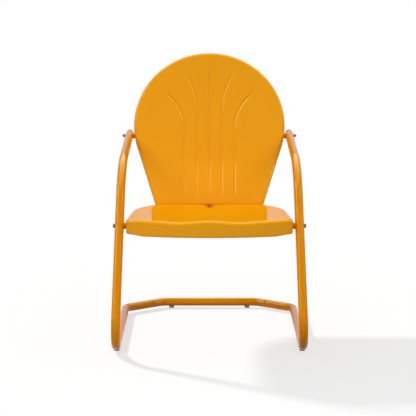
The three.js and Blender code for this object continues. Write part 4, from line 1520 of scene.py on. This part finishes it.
def glide_mesh(name, scene):
    """A nylon button with a rounded foot, a shallow dimple under it and a fine groove round it."""
    f = scene.chair_fasteners
    height = scene.chair_tube.glide_height - f.clearance
    edge, stem = f.glide / 2, height * GLIDE_SHARES["stem"]
    foot = edge * GLIDE_SHARES["foot"]
    flat = foot * GLIDE_SHARES["flat"]
    rows = [ring(0, GLIDE_DIMPLE), ring(foot * GLIDE_SHARES["dimple"], GLIDE_DIMPLE),
            ring(foot * GLIDE_SHARES["dimple_rim"], 0), ring(flat, 0)]
    for turn in quarter(GLIDE_ROUND_STEPS):
        rows.append(ring(flat + (edge - flat) * math.sin(turn),
                         (1 - math.cos(turn)) * height * GLIDE_SHARES["rounding"]))
    for inset, part in zip((0, GLIDE_GROOVE, GLIDE_GROOVE, 0), GLIDE_SHARES["groove"]):
        rows.append(ring(edge - inset, height * part))
    rows += [ring(edge, height * GLIDE_SHARES["shoulder"]), ring(edge - GLIDE_CHAMFER, height),
             ring(f.bolt / 2, height), ring(f.bolt / 2, stem), ring(0, stem)]
    return turned(name, rows, f.sides)


def build_glides(scene):
    for end in ("front", "rear"):
        places = []
        for side in ("left", "right"):
            low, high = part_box(f"{end}_{side}_glide")
            places.append((Vector(((low.x + high.x) / 2, (low.y + high.y) / 2, 0)), Vector((0, 0, 1))))
        mesh = set_out(scene, f"{end}_glides", glide_mesh(f"{end}_glide", scene), places, f"{end}_nylon")
        stand(scene, f"{end}_nylon_glides", mesh, f"{end}_nylon",
              f"{end}_left_glide", f"{end}_right_glide")


# Stage

def seen_rays(tree):
    """One for rays from the camera, a mirror or a glass, and zero for light that falls on things."""
    path = tree.add("ShaderNodeLightPath")
    seen = tree.math("MAXIMUM", tree.out(path, "Is Camera Ray"), tree.out(path, "Is Glossy Ray"))
    return tree.math("MAXIMUM", seen, tree.out(path, "Is Transmission Ray"))


def key_on_floor(stage, tree):
    """The key lamp's light on the bare floor, by distance, as what a white floor would show."""
    foot = tree.add("ShaderNodeVectorMath", {"operation": "DISTANCE"},
                    {0: object_place(tree), 1: (stage.key[0], stage.key[1], 0.0)})
    away = tree.out(foot, "Value")
    reach = tree.math("SQRT", away * away + stage.key[2] ** 2)
    return tree.math("DIVIDE", stage.key_level * stage.key[2], reach)


def floor_material(stage):
    """White floor that keeps its shadows: its own glow makes up what falls short of white."""
    material, tree = surface_tree("white_floor")
    shown = tree.add("ShaderNodeVectorMath", {"operation": "SCALE"}, {
        0: tuple(stage.floor_shown), "Scale": stage.dome + key_on_floor(stage, tree)})
    lack = tree.add("ShaderNodeVectorMath", {"operation": "SUBTRACT"}, {
        0: (1.0, 1.0, 1.0), 1: tree.out(shown)})
    glow = tree.add("ShaderNodeEmission", {}, {"Color": tree.out(lack)})
    lit = tree.add("ShaderNodeBsdfDiffuse", {}, {"Color": opaque(stage.floor_shown)})
    white = tree.add("ShaderNodeAddShader", {}, {0: tree.out(lit), 1: tree.out(glow)})
    plain = tree.add("ShaderNodeBsdfDiffuse", {}, {"Color": opaque([stage.floor_bounce] * 3)})
    both = tree.add("ShaderNodeMixShader", {}, {
        0: seen_rays(tree), 1: tree.out(plain), 2: tree.out(white)})
    tree.add("ShaderNodeOutputMaterial", {}, {"Surface": tree.out(both)})
    return material


def build_floor(stage):
    reach = stage.floor
    mesh = bpy.data.meshes.new("floor")
    corners = [(-reach, -reach, 0), (reach, -reach, 0), (reach, reach, 0), (-reach, reach, 0)]
    mesh.from_pydata(corners, [], [(0, 1, 2, 3)])
    mesh.materials.append(floor_material(stage))
    floor = placed("floor", mesh)
    return floor


def lamp_aim(turn, rise):
    """The direction of light from a turn to the left of the camera and a rise over the floor."""
    return (math.cos(rise) * math.sin(turn), math.cos(rise) * math.cos(turn), -math.sin(rise))


# A light as the gloss shows it: its turn to the left of the camera, its rise over the floor and half
# its width, all in degrees, and how bright it is, where 1 is white
Shine = namedtuple("Shine", "turn rise width level")
SHINES = (
    Shine(turn=180, rise=72, width=46, level=6.0),
    Shine(turn=82, rise=38, width=19, level=14.0),
    Shine(turn=-82, rise=35, width=10, level=12.0),
    Shine(turn=-62, rise=9, width=5, level=35.0),
)
SHINE_CORE_SHARE = 0.6
SHINE_TINT = (1.0, 0.92, 0.5)
# What the gloss loses of the white all round
GLOSS_LACK = 0.08
WHITE = (1.0, 1.0, 1.0, 1.0)


def shine(tree, heading, light):
    """How the gloss shows one light, by the direction that a ray goes in."""
    turn, rise, width = (math.radians(degrees) for degrees in light[:3])
    facing = tree.add("ShaderNodeVectorMath", {"operation": "DOT_PRODUCT"},
                      {0: heading, 1: tuple(-Vector(lamp_aim(turn, rise)))})
    edge = tree.add("ShaderNodeMapRange", {"interpolation_type": "SMOOTHSTEP"}, {
        "Value": tree.out(facing, "Value"), "From Min": math.cos(width),
        "From Max": math.cos(width * SHINE_CORE_SHARE), "To Min": 0.0, "To Max": light.level})
    return tree.out(edge)


def build_world(scene):
    """White to look at, an even dome to be lit by, and the lights in the gloss."""
    world = bpy.data.worlds.new("studio")
    tree = bare_tree(world)
    dome_level = scene.chair_stage.dome
    path = tree.add("ShaderNodeLightPath")
    undimmed = 1 - tree.math("MINIMUM", 1.0, tree.out(path, "Diffuse Depth"))
    mirrored_rays = tree.out(path, "Is Glossy Ray") * undimmed
    heading = tree.out(tree.add("ShaderNodeTexCoord"), "Generated")
    shines = sum(shine(tree, heading, light) for light in SHINES)
    level = dome_level + (1 - dome_level) * seen_rays(tree) - mirrored_rays * GLOSS_LACK
    even = tree.add("ShaderNodeBackground", {}, {"Color": WHITE, "Strength": level})
    lights = tree.add("ShaderNodeBackground", {}, {
        "Color": opaque(SHINE_TINT), "Strength": mirrored_rays * shines})
    both = tree.add("ShaderNodeAddShader", {}, {0: tree.out(even), 1: tree.out(lights)})
    tree.add("ShaderNodeOutputWorld", {}, {"Surface": tree.out(both)})
    scene.world = world


DOWN = (0, 0, -1)
SOFT_LIGHT_REACH = 4.0


def hang_lamp(light, spot, aim, lit):
    """Hangs a lamp that lights only the things given. The gloss shows the world's lights instead."""
    lamp = placed(light.name, light)
    lamp.location = spot
    lamp.rotation_euler = Vector(aim).to_track_quat("-Z", "Y").to_euler()
    lamp.visible_glossy = False
    lamp.light_linking.receiver_collection = bpy.data.collections.new(f"lit_by_{light.name}")
    for thing in lit:
        lamp.light_linking.receiver_collection.objects.link(thing)


# Power of each kind of lamp that lights a white sheet facing it to white
SUN_POWER = math.pi
POINT_POWER = 4 * math.pi ** 2


def build_soft_light(name, level, softness, aim, lit):
    """A broad even light that falls along a direction."""
    light = bpy.data.lights.new(name, "SUN")
    light.energy = level * SUN_POWER
    light.angle = softness
    hang_lamp(light, Vector(aim) * -SOFT_LIGHT_REACH, aim, lit)


def build_key(stage, floor):
    """The lamp that throws the shadows, with no loss over its distance."""
    light = bpy.data.lights.new("key", "POINT")
    light.shadow_soft_size = stage.key_size / 2
    light.energy = stage.key_level * POINT_POWER
    tree = bare_tree(light)
    even_light = tree.add("ShaderNodeLightFalloff", {}, {"Strength": 1.0})
    glow = tree.add("ShaderNodeEmission", {}, {"Strength": tree.out(even_light, "Constant")})
    tree.add("ShaderNodeOutputLight", {}, {"Surface": tree.out(glow)})
    hang_lamp(light, stage.key, DOWN, [floor])


def build_camera(scene):
    stage = scene.chair_stage
    data = bpy.data.cameras.new("photograph")
    data.lens = stage.lens
    camera = placed("photograph", data)
    camera.location = stage.camera
    camera.rotation_euler = (math.pi / 2 - stage.pitch, 0, 0)
    scene.camera = camera


def build_stage(scene):
    """The soft lights fall on the chair alone, and the key lamp on the floor alone."""
    stage = scene.chair_stage
    chair = [thing for thing in scene.objects if thing.type == "MESH" and not thing.hide_render]
    floor = build_floor(stage)
    build_world(scene)
    build_key(stage, floor)
    build_soft_light("overhead", stage.overhead_level, stage.softness, DOWN, chair)
    left, right = lamp_aim(stage.side_turn, stage.side_rise), lamp_aim(-stage.side_turn, stage.side_rise)
    build_soft_light("left_softbox", stage.left_level, stage.softness, left, chair)
    build_soft_light("right_softbox", stage.right_level, stage.softness, right, chair)
    build_camera(scene)
    scene.view_settings.view_transform = "Standard"


# Operators

class CHAIR_OT_side_frames(bpy.types.Operator):
    """Bend the two side frames from tube"""
    bl_idname = "chair.side_frames"
    bl_label = "Side frames"

    def execute(self, context):
        build_side_frames(context.scene)
        return {"FINISHED"}


class CHAIR_OT_base_bar(bpy.types.Operator):
    """Bend the bar that closes the base at the rear"""
    bl_idname = "chair.base_bar"
    bl_label = "Rear base bar"

    def execute(self, context):
        build_base_bar(context.scene)
        return {"FINISHED"}


class CHAIR_OT_arm_plugs(bpy.types.Operator):
    """Close the armrests with domed plugs"""
    bl_idname = "chair.arm_plugs"
    bl_label = "Armrest plugs"

    def execute(self, context):
        build_arm_plugs(context.scene)
        return {"FINISHED"}


class CHAIR_OT_seat(bpy.types.Operator):
    """Press the seat"""
    bl_idname = "chair.seat"
    bl_label = "Seat"

    def execute(self, context):
        build_seat(context.scene)
        return {"FINISHED"}


class CHAIR_OT_back(bpy.types.Operator):
    """Press the back with its five grooves"""
    bl_idname = "chair.back"
    bl_label = "Back"

    def execute(self, context):
        build_back(context.scene)
        return {"FINISHED"}


class CHAIR_OT_spacers(bpy.types.Operator):
    """Set the sleeves between the tubes and the pans"""
    bl_idname = "chair.spacers"
    bl_label = "Spacers"

    def execute(self, context):
        build_spacers(context.scene)
        return {"FINISHED"}


class CHAIR_OT_bolts(bpy.types.Operator):
    """Set the hexagon bolts"""
    bl_idname = "chair.bolts"
    bl_label = "Bolts"

    def execute(self, context):
        build_bolts(context.scene)
        return {"FINISHED"}


class CHAIR_OT_washers(bpy.types.Operator):
    """Set the washers under the bolt heads"""
    bl_idname = "chair.washers"
    bl_label = "Washers"

    def execute(self, context):
        build_washers(context.scene)
        return {"FINISHED"}


class CHAIR_OT_nuts(bpy.types.Operator):
    """Set the hexagon nuts and the cap nuts"""
    bl_idname = "chair.nuts"
    bl_label = "Nuts"

    def execute(self, context):
        build_nuts(context.scene)
        return {"FINISHED"}


class CHAIR_OT_seam_screws(bpy.types.Operator):
    """Set the two screws that hold the rear bar"""
    bl_idname = "chair.seam_screws"
    bl_label = "Seam screws"

    def execute(self, context):
        build_seam_screws(context.scene)
        return {"FINISHED"}


class CHAIR_OT_glides(bpy.types.Operator):
    """Set the four nylon glides"""
    bl_idname = "chair.glides"
    bl_label = "Glides"

    def execute(self, context):
        build_glides(context.scene)
        return {"FINISHED"}


class CHAIR_OT_stage(bpy.types.Operator):
    """Lay the floor, hang the lamps and stand the camera"""
    bl_idname = "chair.stage"
    bl_label = "Stage"

    def execute(self, context):
        build_stage(context.scene)
        return {"FINISHED"}


OPERATORS = (
    CHAIR_OT_side_frames, CHAIR_OT_base_bar, CHAIR_OT_arm_plugs, CHAIR_OT_seat, CHAIR_OT_back,
    CHAIR_OT_spacers, CHAIR_OT_bolts, CHAIR_OT_washers, CHAIR_OT_nuts, CHAIR_OT_seam_screws,
    CHAIR_OT_glides, CHAIR_OT_stage,
)


class CHAIR_PT_panel(bpy.types.Panel):
    """Lists what the chair is made of"""
    bl_idname = "CHAIR_PT_panel"
    bl_label = "Lawn chair"
    bl_space_type = "VIEW_3D"
    bl_region_type = "UI"
    bl_category = "Lawn chair"

    def draw(self, context):
        for operator in OPERATORS:
            self.layout.operator(operator.bl_idname)
        for name in PROPERTY_GROUPS:
            box = self.layout.box()
            group = getattr(context.scene, name)
            for size in group.bl_rna.properties:
                if size.identifier not in ("rna_type", "name"):
                    box.prop(group, size.identifier)


def register():
    for group in (*PROPERTY_GROUPS.values(), *OPERATORS, CHAIR_PT_panel):
        bpy.utils.register_class(group)
    for name, group in PROPERTY_GROUPS.items():
        setattr(bpy.types.Scene, name, PointerProperty(type=group))


def unregister():
    for name in PROPERTY_GROUPS:
        delattr(bpy.types.Scene, name)
    for group in (CHAIR_PT_panel, *OPERATORS, *PROPERTY_GROUPS.values()):
        bpy.utils.unregister_class(group)


def main():
    register()
    bpy.ops.chair.side_frames()
    bpy.ops.chair.base_bar()
    bpy.ops.chair.arm_plugs()
    bpy.ops.chair.seat()
    bpy.ops.chair.back()
    bpy.ops.chair.spacers()
    bpy.ops.chair.bolts()
    bpy.ops.chair.washers()
    bpy.ops.chair.nuts()
    bpy.ops.chair.seam_screws()
    bpy.ops.chair.glides()
    bpy.ops.chair.stage()


if __name__ == "__main__":
    main()
